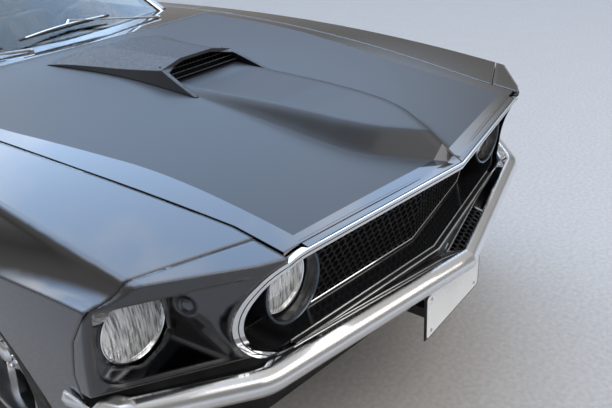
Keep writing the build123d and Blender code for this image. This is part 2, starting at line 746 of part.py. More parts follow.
def side_window(points, shrink):
    """A side window opening on both sides as prisms, shrunk inwards."""
    with BuildPart() as prism:
        with BuildSketch(Plane.YZ.offset(450.0)):
            with BuildLine():
                Polyline(*points, close=True)
            make_face()
            if shrink:
                offset(amount=-shrink, kind=Kind.INTERSECTION)
        extrude(amount=350.0)
        mirror(about=Plane.YZ)
    return prism.part


# Roof with its pillars
with BuildPart() as roof:
    add(roof_outer - roof_inner)
    add(body_above, mode=Mode.SUBTRACT)
    add(screen_prism(0.0), mode=Mode.SUBTRACT)
    add(backlight_prism(0.0), mode=Mode.SUBTRACT)
    for window in SIDE_WINDOWS:
        add(side_window(window, 0.0), mode=Mode.SUBTRACT)
roof.part.label = "roof"
export_step(roof.part, "parts/roof.step")

# Fixed glass: windscreen, backlight and rear quarter windows
pane_shell = pane_outer - pane_inner - body_above
quarter_glass = pane_shell & side_window(SIDE_WINDOWS[1], seat_gap)
with BuildPart() as fixed_glass:
    add(pane_shell & screen_prism(seat_gap))
    add(pane_shell & backlight_prism(seat_gap))
    add(quarter_glass)
fixed_glass.part.label = "fixed_glass"
export_step(fixed_glass.part, "parts/fixed_glass.step")

# Door glass, carried in the doors
glass_gap = 8.0
door_panes = pane_shell & side_window(SIDE_WINDOWS[0], glass_gap)
for name, glass_side in (("door_glass_left", 1), ("door_glass_right", -1)):
    with BuildPart() as door_glass:
        add(door_panes & block(sorted((0, glass_side * 1000)), (-1000, 1000), (0, 1400)))
    door_glass.part.label = name
    export_step(door_glass.part, f"parts/{name}.step")

# Boot lid
with BuildPart() as boot_lid:
    add(body_outer & block((-boot_half_width, boot_half_width), (boot_front_y, 2400), (600, 1400)))
    add(body_skin, mode=Mode.SUBTRACT)
boot_lid.part.label = "boot_lid"
export_step(boot_lid.part, "parts/boot_lid.step")

# Tail panel, lamps and fuel cap
tail_panel_y = 2290.0
tail_panel_low_z = 345.0
tail_lid_gap = 6.0
with BuildPart() as tail_panel:
    add(body_clear & block((-1000, 1000), (tail_panel_y, tail_panel_y + skin), (tail_panel_low_z, 1000)))
tail_panel.part.label = "tail_panel"
export_step(tail_panel.part, "parts/tail_panel.step")

LAMP_BARS = (430.0, 520.0, 610.0)
with BuildPart() as tail_lamps:
    with BuildSketch(Plane.XZ.offset(-tail_panel_y - skin - 14.0)):
        for bar_x in LAMP_BARS:
            with Locations((bar_x, 745.0)):
                RectangleRounded(62.0, 180.0, 10.0)
    extrude(amount=14.0 - seat_gap)
    mirror(about=Plane.YZ)
tail_lamps.part.label = "tail_lamps"
export_step(tail_lamps.part, "parts/tail_lamps.step")

with BuildPart() as fuel_cap:
    add(along(55.0, 0.0, 745.0, tail_panel_y + skin + seat_gap, tail_panel_y + skin + 22.0))
fuel_cap.part.label = "fuel_cap"
export_step(fuel_cap.part, "parts/fuel_cap.step")

# Rear bumper
REAR_BUMPER_LINE = ((0.0, bumper_reach_y), (815.0, bumper_reach_y - 14.0), (888.0, bumper_reach_y - 40.0), (900.0, 2130.0))
with BuildPart() as rear_bumper:
    add(plan_prism(both_sides((*REAR_BUMPER_LINE, (0.0, 2130.0))), 440.0, 540.0))
    inner_line = ((0.0, bumper_reach_y - 38.0), (800.0, tail_y + seat_gap), (872.0, tail_y + seat_gap), (884.0, 2100.0), (0.0, 2100.0))
    add(plan_prism(both_sides(inner_line), 400.0, 600.0), mode=Mode.SUBTRACT)
rear_bumper.part.label = "rear_bumper"
export_step(rear_bumper.part, "parts/rear_bumper.step")

# Floor with the tunnel, the kick-up, the boot floor, the firewall and the rear wheel housings
floor_z = 250.0
floor_sheet = 10.0
rear_floor_z = 375.0
boot_floor_z = 470.0
kick_y = 700.0
boot_step_y = 1050.0
tunnel_half_width = 150.0
tunnel_top_z = 430.0
housing_inner_x = 592.0
housing_low_z = 410.0
firewall_y = door_front_y - 14.0
tunnel_line = ((-tunnel_half_width, floor_z), (-110.0, tunnel_top_z), (110.0, tunnel_top_z), (tunnel_half_width, floor_z))
with BuildPart() as floor_pan:
    floor_points = (
        (firewall_y, floor_z),
        (kick_y, floor_z),
        (kick_y, rear_floor_z),
        (boot_step_y, rear_floor_z),
        (boot_step_y, boot_floor_z),
        (tail_panel_y - seat_gap, boot_floor_z),
        (tail_panel_y - seat_gap, boot_floor_z + floor_sheet),
        (boot_step_y - floor_sheet, boot_floor_z + floor_sheet),
        (boot_step_y - floor_sheet, rear_floor_z + floor_sheet),
        (kick_y - floor_sheet, rear_floor_z + floor_sheet),
        (kick_y - floor_sheet, floor_z + floor_sheet),
        (firewall_y, floor_z + floor_sheet),
    )
    add(side_prism(floor_points))
    with BuildSketch(Plane.XZ.offset(-firewall_y)):
        Polygon(*tunnel_line, align=None)
    extrude(amount=firewall_y - kick_y)
    add(block((-1000, 1000), (firewall_y, firewall_y + floor_sheet), (floor_z, 1000)))
    with BuildSketch(Plane.XZ.offset(-firewall_y + 1.0)):
        Polygon(
            (-tunnel_half_width + floor_sheet, floor_z),
            (-110.0 + floor_sheet, tunnel_top_z - floor_sheet),
            (110.0 - floor_sheet, tunnel_top_z - floor_sheet),
            (tunnel_half_width - floor_sheet, floor_z),
            align=None,
        )
    extrude(amount=firewall_y - 1.0 - kick_y - 40.0, mode=Mode.SUBTRACT)
floor_blank = floor_pan.part & (
    (body_wall_clear & block((-1000, 1000), (-1000, quarter_split_y + seat_gap), (0, 1400)))
    + (body_clear & block((-1000, 1000), (quarter_split_y + seat_gap, 2500), (0, 1400)))
)
drum_outer = across(rear_arch_radius + 12.0, rear_axle_y, wheel_z, housing_inner_x, 900.0)
drum_inner = across(rear_arch_radius + 4.0, rear_axle_y, wheel_z, housing_inner_x + 8.0, 900.0)
drum_clear = across(rear_arch_radius + 12.0 + seat_gap, rear_axle_y, wheel_z, housing_inner_x - seat_gap, 900.0)
with BuildPart() as rear_housing:
    add(drum_outer - drum_inner - block((0, 1000), (0, 2000), (0, housing_low_z)))
    add(body_clear, mode=Mode.INTERSECT)
    mirror(about=Plane.YZ)
with BuildPart() as housing_bore:
    add(drum_clear)
    mirror(about=Plane.YZ)
FLOOR_SEAMS = (firewall_y + floor_sheet, kick_y - floor_sheet - seat_gap, boot_step_y - floor_sheet - seat_gap)
with BuildPart() as floor_pan:
    add(floor_blank - housing_bore.part)
    for seam_y in FLOOR_SEAMS:
        add(block((-1000, 1000), (seam_y, seam_y + seat_gap), (0, 1400)), mode=Mode.SUBTRACT)
    add(rear_housing.part)
    add(block((-1000, 1000), (quarter_split_y + seat_gap, 1700), (800, 808)) & body_clear)
floor_pan.part.label = "floor_pan"
export_step(floor_pan.part, "parts/floor_pan.step")

# Front inner panels: wheel housings, and the radiator support that ties them together
apron_z = 330.0
radiator_y = -1950.0
with BuildPart() as front_aprons:
    add(across(front_arch_radius + 24.0, front_axle_y, wheel_z, 440.0, 900.0))
    add(across(front_arch_radius + 16.0, front_axle_y, wheel_z, 448.0, 900.0), mode=Mode.SUBTRACT)
    add(block((0, 1000), (-2500, 0), (0, apron_z)), mode=Mode.SUBTRACT)
    add(block((440, 448), (-2000, firewall_y - seat_gap), (420, 700)))
    add(across(front_arch_radius + 16.0, front_axle_y, wheel_z, 448.0, 900.0), mode=Mode.SUBTRACT)
    add(block((0, 448), (-2008, -2000), (400, 700)))
    add(block((0, 300), (-2010, -1990), (440, 660)), mode=Mode.SUBTRACT)
    mirror(about=Plane.YZ)
    add(body_form(skin + shut_gap, drop=60.0), mode=Mode.INTERSECT)
    for side in (-1, 1):
        opening = block(sorted((side * 430, side * 460)), (front_axle_y - 160, front_axle_y + 160), (0, 470))
        add(opening, mode=Mode.SUBTRACT)
front_aprons.part.label = "front_aprons"
export_step(front_aprons.part, "parts/front_aprons.step")

# Radiator, engine and gearbox as plain blocks at their places
with BuildPart() as radiator:
    add(block((-310, 310), (radiator_y - 49.7, radiator_y), (400, 700)))
radiator.part.label = "radiator"
export_step(radiator.part, "parts/radiator.step")

shaft_radius = 38.0
with BuildPart() as engine:
    add(block((-260, 260), (-1780, -1000), (300 + seat_gap, 740)))
    add(block((-110, 110), (-1000, -660), (280, 500)))
    add(block((-85, 85), (-660, -150), (260, 400)))
    add(along(shaft_radius, 0.0, wheel_z, -150.0, rear_axle_y - 125.0 - seat_gap))
engine.part.label = "engine"
export_step(engine.part, "parts/engine.step")

# Front rails with the crossmember, the control arms and the ball joints
BUMPER_IRON = ((-2300, 456), (-2300, 476), (-2100, 476), (-2080, 390), (-2130, 390), (-2140, 456))
with BuildPart() as front_frame:
    RAIL = ((-2130, 300), (-800, 300), (-700, 205), (650, 205), (650, 249.7), (-649.3, 249.7), (-649.3, 390), (-2130, 390))
    add(side_prism(RAIL, rail_x - 30, rail_x + 30))
    add(block((0, 400), (front_axle_y - 60, front_axle_y + 60), (194.7, 300)))
    for low, high in ((194.7, 214.7), (445.3, 463.0)):
        add(plan_prism(((395, front_axle_y - 130), (kingpin_x + 14, front_axle_y - 22), (kingpin_x + 14, front_axle_y + 22), (395, front_axle_y + 130)), low, high))
    add(block((405, 430), (front_axle_y - 60, front_axle_y + 60), (300, 463)))
    iron_zone = bumper_region(((0.0, bumper_back + seat_gap), (600.0, bumper_back + seat_gap)))
    add(side_prism(BUMPER_IRON, rail_x - 15, rail_x + 15) & (iron_zone + block((0, 900), (-2200, 0), (0, 600))))
    mirror(about=Plane.YZ)
front_frame.part.label = "front_frame"
export_step(front_frame.part, "parts/front_frame.step")

# Steering knuckles, turned about a vertical kingpin, with the wheel spindles
for name, knuckle_side in (("knuckle_left", 1), ("knuckle_right", -1)):
    with BuildPart() as knuckle:
        add(block((kingpin_x - 18, kingpin_x + 18), (front_axle_y - 22, front_axle_y + 22), (215, 445)))
        add(across(spindle_radius, front_axle_y, wheel_z, kingpin_x, half_track + 10))
    piece = knuckle.part if knuckle_side > 0 else knuckle.part.mirror(Plane.YZ)
    piece.label = name
    export_step(piece, f"parts/{name}.step")

# Rear axle on its leaf springs
spring_x = 545.0
with BuildPart() as rear_axle:
    add(across(38.0, rear_axle_y, wheel_z, 0.0, 690.0))
    add(across(120.0, rear_axle_y, wheel_z, 682.0, 692.0))
    add(across(spindle_radius, rear_axle_y, wheel_z, 690.0, half_track + 10))
    with BuildSketch(Plane.YZ.offset(spring_x - 31.5)):
        with BuildLine():
            ThreePointArc((748, 300), (rear_axle_y, 292), (2008, 340))
            Line((2008, 340), (2008, 318))
            ThreePointArc((2008, 318), (rear_axle_y, 270), (748, 278))
            Line((748, 278), (748, 300))
        make_face()
    extrude(amount=63.0)
    add(block((spring_x - 20, spring_x + 20), (2000, 2020), (318, boot_floor_z - seat_gap)))
    add(block((spring_x - 20, spring_x + 20), (740, 770), (278, rear_floor_z - seat_gap)))
    mirror(about=Plane.YZ)
    with Locations((0, rear_axle_y, wheel_z)):
        Sphere(125.0)
rear_axle.part.label = "rear_axle"
export_step(rear_axle.part, "parts/rear_axle.step")

# Fuel tank under the boot floor
with BuildPart() as fuel_tank:
    Box(2 * 400.0, 460.0, 160.0)
    fillet(fuel_tank.edges(), 30.0)
tank = Pos(0, 1900, boot_floor_z - seat_gap - 80.0) * fuel_tank.part
tank.label = "fuel_tank"
export_step(tank, "parts/fuel_tank.step")

# Exhaust: one pipe a side, with a muffler ahead of the axle, rising over it to the tail
with BuildPart() as exhaust:
    with BuildLine() as pipe_path:
        FilletPolyline(
            (290, -1000, 270), (260, -700, 190), (260, 980, 190), (290, 1200, 412),
            (290, 1420, 412), (455, 1640, 262), (455, 2345, 262), radius=60)
    with BuildSketch(Plane(origin=(290, -1000, 270), z_dir=pipe_path.line @ 0.001 - pipe_path.line @ 0)):
        Circle(28.0)
    sweep()
    add(along(60.0, 260.0, 190.0, 250.0, 700.0))
    mirror(about=Plane.YZ)
exhaust.part.label = "exhaust"
export_step(exhaust.part, "parts/exhaust.step")

# Dashboard with the steering column on the left
wheel_centre = Vector(370, -230, 800)
column_axis = Vector(0, 0.9, 0.42).normalized()
with BuildPart() as dashboard:
    with BuildSketch(Plane.YZ.offset(-680)):
        with BuildLine():
            Polyline((-628, 560), (-628, 800), (-560, 872), (-400, 850), (-360, 790), (-380, 700), (-560, 560), close=True)
        make_face()
    extrude(amount=1360)
    add(roof_form(roof_wall + seat_gap) + block((-1000, 1000), (-1000, 0), (0, roof_base_z + 5)), mode=Mode.INTERSECT)
    column_back = wheel_centre - column_axis * 330.0
    with BuildSketch(Plane(origin=column_back, z_dir=column_axis)):
        Circle(28.0)
    extrude(amount=310.0 - seat_gap)
dashboard.part.label = "dashboard"
export_step(dashboard.part, "parts/dashboard.step")

with BuildPart() as steering_wheel:
    with BuildSketch(Plane(origin=wheel_centre, x_dir=(1, 0, 0), z_dir=column_axis)):
        Circle(190.0)
        Circle(168.0, mode=Mode.SUBTRACT)
        Rectangle(350.0, 30.0)
        Circle(38.0)
    extrude(amount=20.0, both=True)
steering_wheel.part.label = "steering_wheel"
export_step(steering_wheel.part, "parts/steering_wheel.step")

# Seats
SEAT = ((-120, 260.3), (380, 260.3), (420, 420), (560, 860), (480, 880), (330, 470), (-120, 440))
with BuildPart() as front_seats:
    add(side_prism(SEAT, 180, 640))
    mirror(about=Plane.YZ)
front_seats.part.label = "front_seats"
export_step(front_seats.part, "parts/front_seats.step")
BENCH = ((704, 385.3), (1035, 385.3), (1035, 500), (1130, 780), (1050, 780), (960, 520), (704, 470))
with BuildPart() as rear_seat:
    add(side_prism(BENCH, -560, 560))
rear_seat.part.label = "rear_seat"
export_step(rear_seat.part, "parts/rear_seat.step")

# Wipers, parked towards the car's right. Columns: pivot, arm end, blade start, blade end
WIPERS = (
    ((-160, -750, 914), (-440, -640, 925), (-230, -690, 932), (-640, -560, 925)),
    ((468, -694, 908), (75, -645, 966), (260, -640, 952), (-155, -678, 943)),
)


def bar(start, end, width, height):
    """A straight bar of rectangular section between two points."""
    start, end = Vector(*start), Vector(*end)
    with BuildPart() as piece:
        with BuildSketch(Plane(origin=start, x_dir=(end - start).cross(Vector(0, 0, 1)), z_dir=end - start)):
            Rectangle(width, height)
        extrude(amount=(end - start).length)
    return piece.part


with BuildPart() as wipers:
    for pivot, arm_end, blade_start, blade_end in WIPERS:
        with Locations((pivot[0], pivot[1], pivot[2] - 12.0)):
            Cylinder(11.0, 36.0)
        add(bar(pivot, arm_end, 14.0, 8.0))
        add(bar(blade_start, blade_end, 9.0, 12.0))
        add(bar(arm_end, (Vector(*blade_start) + Vector(*blade_end)) / 2, 10.0, 8.0))
    add(body_above, mode=Mode.SUBTRACT)
wipers.part.label = "wipers"
export_step(wipers.part, "parts/wipers.step")

# Road wheels: spoked rim with hub and drum, and the tyre round it
rim_inner_x = half_track - rim_width / 2
rim_outer_x = half_track + rim_width / 2
with BuildPart() as rim_blank:
    with BuildSketch(Plane.XY) as rim_profile:
        with BuildLine():
            Polyline(
                (rim_inner_x, rim_lip_radius), (rim_inner_x + rim_wall, rim_lip_radius),
                (rim_inner_x + rim_wall, rim_radius), (rim_outer_x - rim_wall, rim_radius),
                (rim_outer_x - rim_wall, rim_lip_radius), (rim_outer_x, rim_lip_radius),
                (rim_outer_x, rim_radius - rim_wall), (rim_inner_x, rim_radius - rim_wall), close=True)
        make_face()
    revolve(axis=Axis.X)
    with BuildSketch(Plane.YZ.offset(rim_outer_x - 60.0)):
        Circle(62.0)
        for spoke in range(5):
            with Locations(Rot(0, 0, spoke * 72.0) * Location((95.0, 0, 0))):
                Rectangle(190.0 - 4.0, 44.0)
        Circle(rim_radius - rim_wall / 2, mode=Mode.INTERSECT)
    extrude(amount=22.0)
    with BuildSketch(Plane.YZ.offset(700.0)):
        Circle(drum_radius)
    extrude(amount=60.0)
    with BuildSketch(Plane.YZ.offset(700.0)):
        Circle(spindle_radius + hub_clearance)
    extrude(amount=half_track + 12.0 - 700.0, mode=Mode.SUBTRACT)
    with BuildSketch(Plane.YZ.offset(755.0)):
        Circle(62.0)
    extrude(amount=30.0)
    with BuildSketch(Plane.YZ.offset(700.0)):
        Circle(spindle_radius + hub_clearance)
    extrude(amount=half_track + 12.0 - 700.0, mode=Mode.SUBTRACT)
with BuildPart() as tyre_blank:
    with BuildSketch(Plane.XY):
        with BuildLine():
            half = tyre_width / 2
            bead = rim_width / 2 - rim_wall
            Line((half_track - bead, rim_radius), (half_track - bead + tyre_wall, rim_radius))
            Line((half_track - bead + tyre_wall, rim_radius), (half_track - half + tyre_wall, 265.0))
            Line((half_track - half + tyre_wall, 265.0), (half_track - half + 22.0, tyre_radius - tyre_wall))
            Line((half_track - half + 22.0, tyre_radius - tyre_wall), (half_track + half - 22.0, tyre_radius - tyre_wall))
            Line((half_track + half - 22.0, tyre_radius - tyre_wall), (half_track + half - tyre_wall, 265.0))
            Line((half_track + half - tyre_wall, 265.0), (half_track + bead - tyre_wall, rim_radius))
            Line((half_track + bead - tyre_wall, rim_radius), (half_track + bead, rim_radius))
            Line((half_track + bead, rim_radius), (half_track + bead, rim_lip_radius + seat_gap))
            Line((half_track + bead, rim_lip_radius + seat_gap), (half_track + half - 8.0, rim_lip_radius + 20.0))
            ThreePointArc((half_track + half - 8.0, rim_lip_radius + 20.0), (half_track + half, 270.0), (half_track + half - 12.0, tyre_radius - 12.0))
            Line((half_track + half - 12.0, tyre_radius - 12.0), (half_track + half - 26.0, tyre_radius))
            Line((half_track + half - 26.0, tyre_radius), (half_track - half + 26.0, tyre_radius))
            Line((half_track - half + 26.0, tyre_radius), (half_track - half + 12.0, tyre_radius - 12.0))
            ThreePointArc((half_track - half + 12.0, tyre_radius - 12.0), (half_track - half, 270.0), (half_track - half + 8.0, rim_lip_radius + 20.0))
            Line((half_track - half + 8.0, rim_lip_radius + 20.0), (half_track - bead, rim_lip_radius + seat_gap))
            Line((half_track - bead, rim_lip_radius + seat_gap), (half_track - bead, rim_radius))
        make_face()
    revolve(axis=Axis.X)
for corner, corner_y in (("front", front_axle_y), ("rear", rear_axle_y)):
    for side_name, flip in (("left", False), ("right", True)):
        for kind, blank in (("wheel", rim_blank.part), ("tyre", tyre_blank.part)):
            placed = Pos(0, corner_y, wheel_z) * (blank.mirror(Plane.YZ) if flip else blank)
            placed.label = f"{kind}_{corner}_{side_name}"
            export_step(placed, f"parts/{kind}_{corner}_{side_name}.step")
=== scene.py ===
import math
import bpy
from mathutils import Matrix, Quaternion, Vector


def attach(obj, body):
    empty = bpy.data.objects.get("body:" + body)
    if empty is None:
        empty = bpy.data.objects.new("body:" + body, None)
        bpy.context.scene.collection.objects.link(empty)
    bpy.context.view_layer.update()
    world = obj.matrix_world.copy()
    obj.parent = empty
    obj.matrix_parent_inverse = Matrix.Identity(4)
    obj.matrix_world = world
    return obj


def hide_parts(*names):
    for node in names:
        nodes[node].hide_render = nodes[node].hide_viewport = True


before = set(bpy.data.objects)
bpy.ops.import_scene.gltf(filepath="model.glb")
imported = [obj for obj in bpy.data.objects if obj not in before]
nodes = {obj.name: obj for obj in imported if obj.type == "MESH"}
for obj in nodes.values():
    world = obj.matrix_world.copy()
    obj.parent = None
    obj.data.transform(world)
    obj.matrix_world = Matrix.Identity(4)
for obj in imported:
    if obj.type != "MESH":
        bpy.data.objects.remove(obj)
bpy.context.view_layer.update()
scene = bpy.context.scene


# ---- Body panels -----------------------------------------------------------
# Pressed steel panels, bolted or welded to one shell and sprayed dark gunmetal
# with a deep clear coat.
def add_node(tree, kind, links=(), **values):
    """A shader node with its values, and what its sockets are set to or linked with."""
    node = tree.nodes.new(kind)
    for name, value in values.items():
        setattr(node, name, value)
    for socket, source in links:
        if isinstance(source, (int, float, tuple)):
            node.inputs[socket].default_value = source
        else:
            tree.links.new(source, node.inputs[socket])
    return node


def finish(name, colour, roughness, metallic=0.0, coat=0.0, grain=90.0, spread=0.12, bump=0.0,
           specular=0.5, soften=0.0):
    """A finish with the fine unevenness in colour, gloss and height that the real one has.

    soften is the radius that rounds the piece's edges in the light, as pressed or cast ones are.
    """
    material = bpy.data.materials.new(name)
    material.use_nodes = True
    tree = material.node_tree
    shader = tree.nodes["Principled BSDF"]
    for socket, value in (("Metallic", metallic), ("Coat Weight", coat), ("Coat Roughness", 0.02),
                          ("Coat IOR", 1.6), ("Specular IOR Level", specular)):
        shader.inputs[socket].default_value = value
    place = add_node(tree, "ShaderNodeTexCoord").outputs["Object"]
    if soften:
        rounded_way = add_node(tree, "ShaderNodeBevel", [("Radius", soften)], samples=6).outputs[0]
        tree.links.new(rounded_way, shader.inputs["Normal"])
        tree.links.new(rounded_way, shader.inputs["Coat Normal"])
    tones = [[c * (1 - spread) for c in colour], [c * (1 + spread) for c in colour]]
    gloss_range = [[roughness * 0.8] * 3, [roughness * 1.25] * 3]
    for scale, socket, limits in ((grain, "Base Color", tones),
                                  (grain / 12, "Roughness", gloss_range)):
        noise = add_node(tree, "ShaderNodeTexNoise",
                         [("Vector", place), ("Scale", scale), ("Detail", 5)]).outputs["Fac"]
        ramp = add_node(tree, "ShaderNodeValToRGB", [("Fac", noise)])
        for element, at, limit in zip(ramp.color_ramp.elements, (0.3, 0.7), limits):
            element.position, element.color = at, (*limit, 1)
        tree.links.new(ramp.outputs["Color"], shader.inputs[socket])
        if bump and socket == "Base Color":
            relief = add_node(tree, "ShaderNodeBump",
                              [("Strength", bump), ("Distance", 0.001), ("Height", noise)])
            if soften:
                tree.links.new(rounded_way, relief.inputs["Normal"])
            tree.links.new(relief.outputs["Normal"], shader.inputs["Normal"])
    return material


def gunmetal_paint(name, soften=0.0):
    """The car's metallic paint under its clear coat."""
    gunmetal, gloss, flake = (0.044, 0.046, 0.052), 0.12, 900
    return finish(name, gunmetal, gloss, metallic=1.0, coat=1.0, grain=flake, spread=0.1,
                  soften=soften)


def dress(material, *names):
    """Gives CAD pieces a finish."""
    for name in names:
        for part in nodes[name].material_slots:
            part.material = material


panel_soften, brow_soften = 0.010, 0.014
body_paint = gunmetal_paint("body_paint", panel_soften)
dress(body_paint, "fenders", "body_side_left", "body_side_right", "roof", "door_left",
      "door_right", "boot_lid", "tail_panel", "cowl_panel")
dress(gunmetal_paint("brow_paint", brow_soften), "fender_extensions")


# ---- Hood ------------------------------------------------------------------
# Steel hood with the shell's gloss round its border and an anti-glare satin
# black centre, sprayed over a masked edge.
def masked_paint(material):
    """Sprays the satin black over the gloss inside the masked outline."""
    tree = material.node_tree
    shader = tree.nodes["Principled BSDF"]
    place = add_node(tree, "ShaderNodeTexCoord").outputs["Object"]
    split = add_node(tree, "ShaderNodeSeparateXYZ", [(0, place)])

    def math_node(operation, *values):
        return add_node(tree, "ShaderNodeMath", enumerate(values), operation=operation).outputs[0]

    # Half width of the satin area at places along the hood, as (y, x)
    edge = ((-0.785, 0.638), (-1.347, 0.600), (-1.511, 0.570), (-1.675, 0.537),
            (-1.797, 0.513), (-1.916, 0.500), (-2.058, 0.494), (-2.214, 0.493))
    rear_y, front_y = edge[0][0], edge[-1][0]
    side = math_node("ABSOLUTE", split.outputs["X"])
    travel = math_node("DIVIDE", math_node("SUBTRACT", split.outputs["Y"], rear_y),
                       front_y - rear_y)
    curve = add_node(tree, "ShaderNodeFloatCurve", [("Value", travel)])
    points = curve.mapping.curves[0].points
    while len(points) < len(edge):
        points.new(0.5, 0.5)
    for point, (y, x) in zip(points, edge):
        point.location = ((y - rear_y) / (front_y - rear_y), x)
    curve.mapping.update()
    within_side = math_node("SUBTRACT", curve.outputs[0], side)
    front_tip_y, front_sweep = -2.277, 0.128
    line = math_node("ADD", math_node("MULTIPLY", side, front_sweep), front_tip_y)
    within_front = math_node("SUBTRACT", split.outputs["Y"], line)
    inside = math_node("MINIMUM", within_side, within_front)
    blur = 0.0006
    mask = add_node(tree, "ShaderNodeMapRange",
                    [("Value", inside), ("From Min", -blur), ("From Max", blur)])
    amount = mask.outputs["Result"]
    rounding = next(n for n in tree.nodes if n.bl_idname == "ShaderNodeBevel")
    border_soften, centre_soften = 0.003, 0.036
    tree.links.new(math_node("ADD", math_node("MULTIPLY", amount, centre_soften), border_soften),
                   rounding.inputs["Radius"])

    def mixed(socket, satin):
        fed = shader.inputs[socket].links
        gloss = fed[0].from_socket if fed else (shader.inputs[socket].default_value,) * 3 + (1,)
        blend = add_node(tree, "ShaderNodeMix", [(0, amount), (6, gloss), (7, satin)],
                         data_type="RGBA")
        tree.links.new(blend.outputs[2], shader.inputs[socket])

    mixed("Base Color", (0.022, 0.025, 0.031, 1))
    mixed("Roughness", (0.36, 0.36, 0.36, 1))
    mixed("Metallic", (0, 0, 0, 1))
    mixed("Coat Weight", (0, 0, 0, 1))
    return material


dress(masked_paint(gunmetal_paint("hood_paint", soften=0.022)), "hood")


# ---- Hood scoop ------------------------------------------------------------
# A pressed scoop in the same satin black, screwed down over the hood, with
# louvre slats across its dark mouth.
def circle(sides):
    """Directions once round, as (cosine, sine)."""
    turns = [2 * math.pi * i / sides for i in range(sides)]
    return [(math.cos(t), math.sin(t)) for t in turns]


class Shape:
    """Points and faces gathered for one piece."""

    def __init__(self):
        self.points, self.faces = [], []

    def add(self, points, faces):
        start = len(self.points)
        self.points += [Vector(p) for p in points]
        self.faces += [tuple(i + start for i in face) for face in faces]

    def rings(self, rings, closed=True, caps=True, loop=False):
        """Skins equal rings of points in turn."""
        count = len(rings[0])
        points = [p for ring in rings for p in ring]
        last = len(rings) if loop else len(rings) - 1
        faces = []
        for i in range(last):
            a, b = i * count, (i + 1) % len(rings) * count
            for j in range(count if closed else count - 1):
                k = (j + 1) % count
                faces.append((a + j, a + k, b + k, b + j))
        if caps and closed and not loop:
            faces.append(tuple(reversed(range(count))))
            faces.append(tuple(range((len(rings) - 1) * count, len(rings) * count)))
        self.add(points, faces)

    def bar(self, start, end, width, height, up=(0, 0, 1), taper=1.0, chamfer=0.25):
        """A bar with softened edges between two points."""
        start, end = Vector(start), Vector(end)
        ahead = (end - start).normalized()
        across = ahead.cross(Vector(up)).normalized()
        over = across.cross(ahead)
        rings = []
        for at, scale in ((start, 1.0), (end, taper)):
            w, h = width / 2 * scale, height / 2 * scale
            c = min(w, h) * chamfer * 2
            corners = ((w, h - c), (w - c, h), (c - w, h), (-w, h - c),
                       (-w, c - h), (c - w, -h), (w - c, -h), (w, c - h))
            rings.append([at + across * a + over * b for a, b in corners])
        self.rings(rings)

    def tube(self, path, radius, sides=10, loop=False, flat=1.0):
        """A round or oval tube along a path. radius may be one number or one for each point."""
        path = [Vector(p) for p in path]
        radii = radius if isinstance(radius, (list, tuple)) else [radius] * len(path)
        rings, over = [], None
        for i, at in enumerate(path):
            before = path[i - 1] if i or loop else at
            after = path[(i + 1) % len(path)] if i < len(path) - 1 or loop else at
            ahead = (after - before).normalized()
            if over is None:
                over = ahead.orthogonal() if abs(ahead.z) > 0.9 else Vector((0, 0, 1))
            over = (over - ahead * over.dot(ahead)).normalized()
            across = ahead.cross(over)
            rings.append([at + (across * c + over * s * flat) * radii[i]
                          for c, s in circle(sides)])
        self.rings(rings, loop=loop)

    def turned(self, profile, centre, axis, sides=48):
        """A turned form. profile holds (distance along the axis, radius)."""
        axis = Vector(axis).normalized()
        first = axis.orthogonal().normalized()
        second = axis.cross(first)
        centre = Vector(centre)
        rings = []
        for along, radius in profile:
            rings.append([centre + axis * along + (first * c + second * s) * max(radius, 1e-5)
                          for c, s in circle(sides)])
        self.rings(rings)

    def piece(self, name, material, body="body", smooth=True, slot=None, replaces=()):
        """The gathered faces as one object, finished and carried by a body."""
        mesh = bpy.data.meshes.new(name)
        mesh.from_pydata([tuple(p) for p in self.points], [], self.faces)
        mesh.validate()
        mesh.update()
        piece = bpy.data.objects.new(name, mesh)
        scene.collection.objects.link(piece)
        mesh.materials.append(material)
        if smooth:
            mesh.shade_smooth()
            mesh.set_sharp_from_angle(angle=math.radians(32))
        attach(piece, body)
        if replaces:
            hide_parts(*replaces)
        return piece


dress(finish("scoop_paint", (0.020, 0.023, 0.029), 0.42, grain=1400, soften=0.004), "hood_scoop")
black_trim = finish("black_trim", (0.012, 0.012, 0.013), 0.38, grain=300, spread=0.25, bump=0.08)
louvres = Shape()
slat_half, slat_lean, slats_front_y = 0.131, 1.9, -1.475
for height in (0.8835, 0.8935, 0.9035, 0.9135):
    back_y = slats_front_y + (height - 0.88) * slat_lean
    louvres.bar((-slat_half, back_y, height), (slat_half, back_y, height), 0.026, 0.0022,
                up=(0, 0.35, 1))
upright_pitch, upright_y = 0.0155, -1.425
for upright in range(-8, 9):
    x = upright * upright_pitch
    louvres.bar((x, upright_y, 0.879), (x, upright_y, 0.9165), 0.0016, 0.006, up=(0, 1, 0))
louvres.piece("scoop_louvres", black_trim, "hood", slot="black_trim")


# ---- Bright moulding -------------------------------------------------------
# Polished stainless strip along the hood's front edge and round the grille,
# rolled with a groove, whose shade is painted as a thin dark strip on its
# face, and clipped to the nose.
chrome = finish("chrome", (0.86, 0.87, 0.89), 0.045, metallic=1.0, grain=40, spread=0.02)
dress(chrome, "grille_surround", "fuel_cap")
rubber = finish("rubber", (0.016, 0.016, 0.017), 0.6, grain=700, spread=0.2, bump=0.15)
nose_line = ((0.0, -2.333), (0.549, -2.252), (0.607, -2.222), (0.855, -2.049), (0.930, -1.997))
nose_top, nose_slope = 0.755, 0.226


def nose_y(x, z):
    """How far forward the nose face stands at a place."""
    x = abs(x)
    for (x0, y0), (x1, y1) in zip(nose_line[:-1], nose_line[1:]):
        if x <= x1:
            return y0 + (y1 - y0) * (x - x0) / (x1 - x0) + nose_slope * (nose_top - z)
    return nose_line[-1][1]


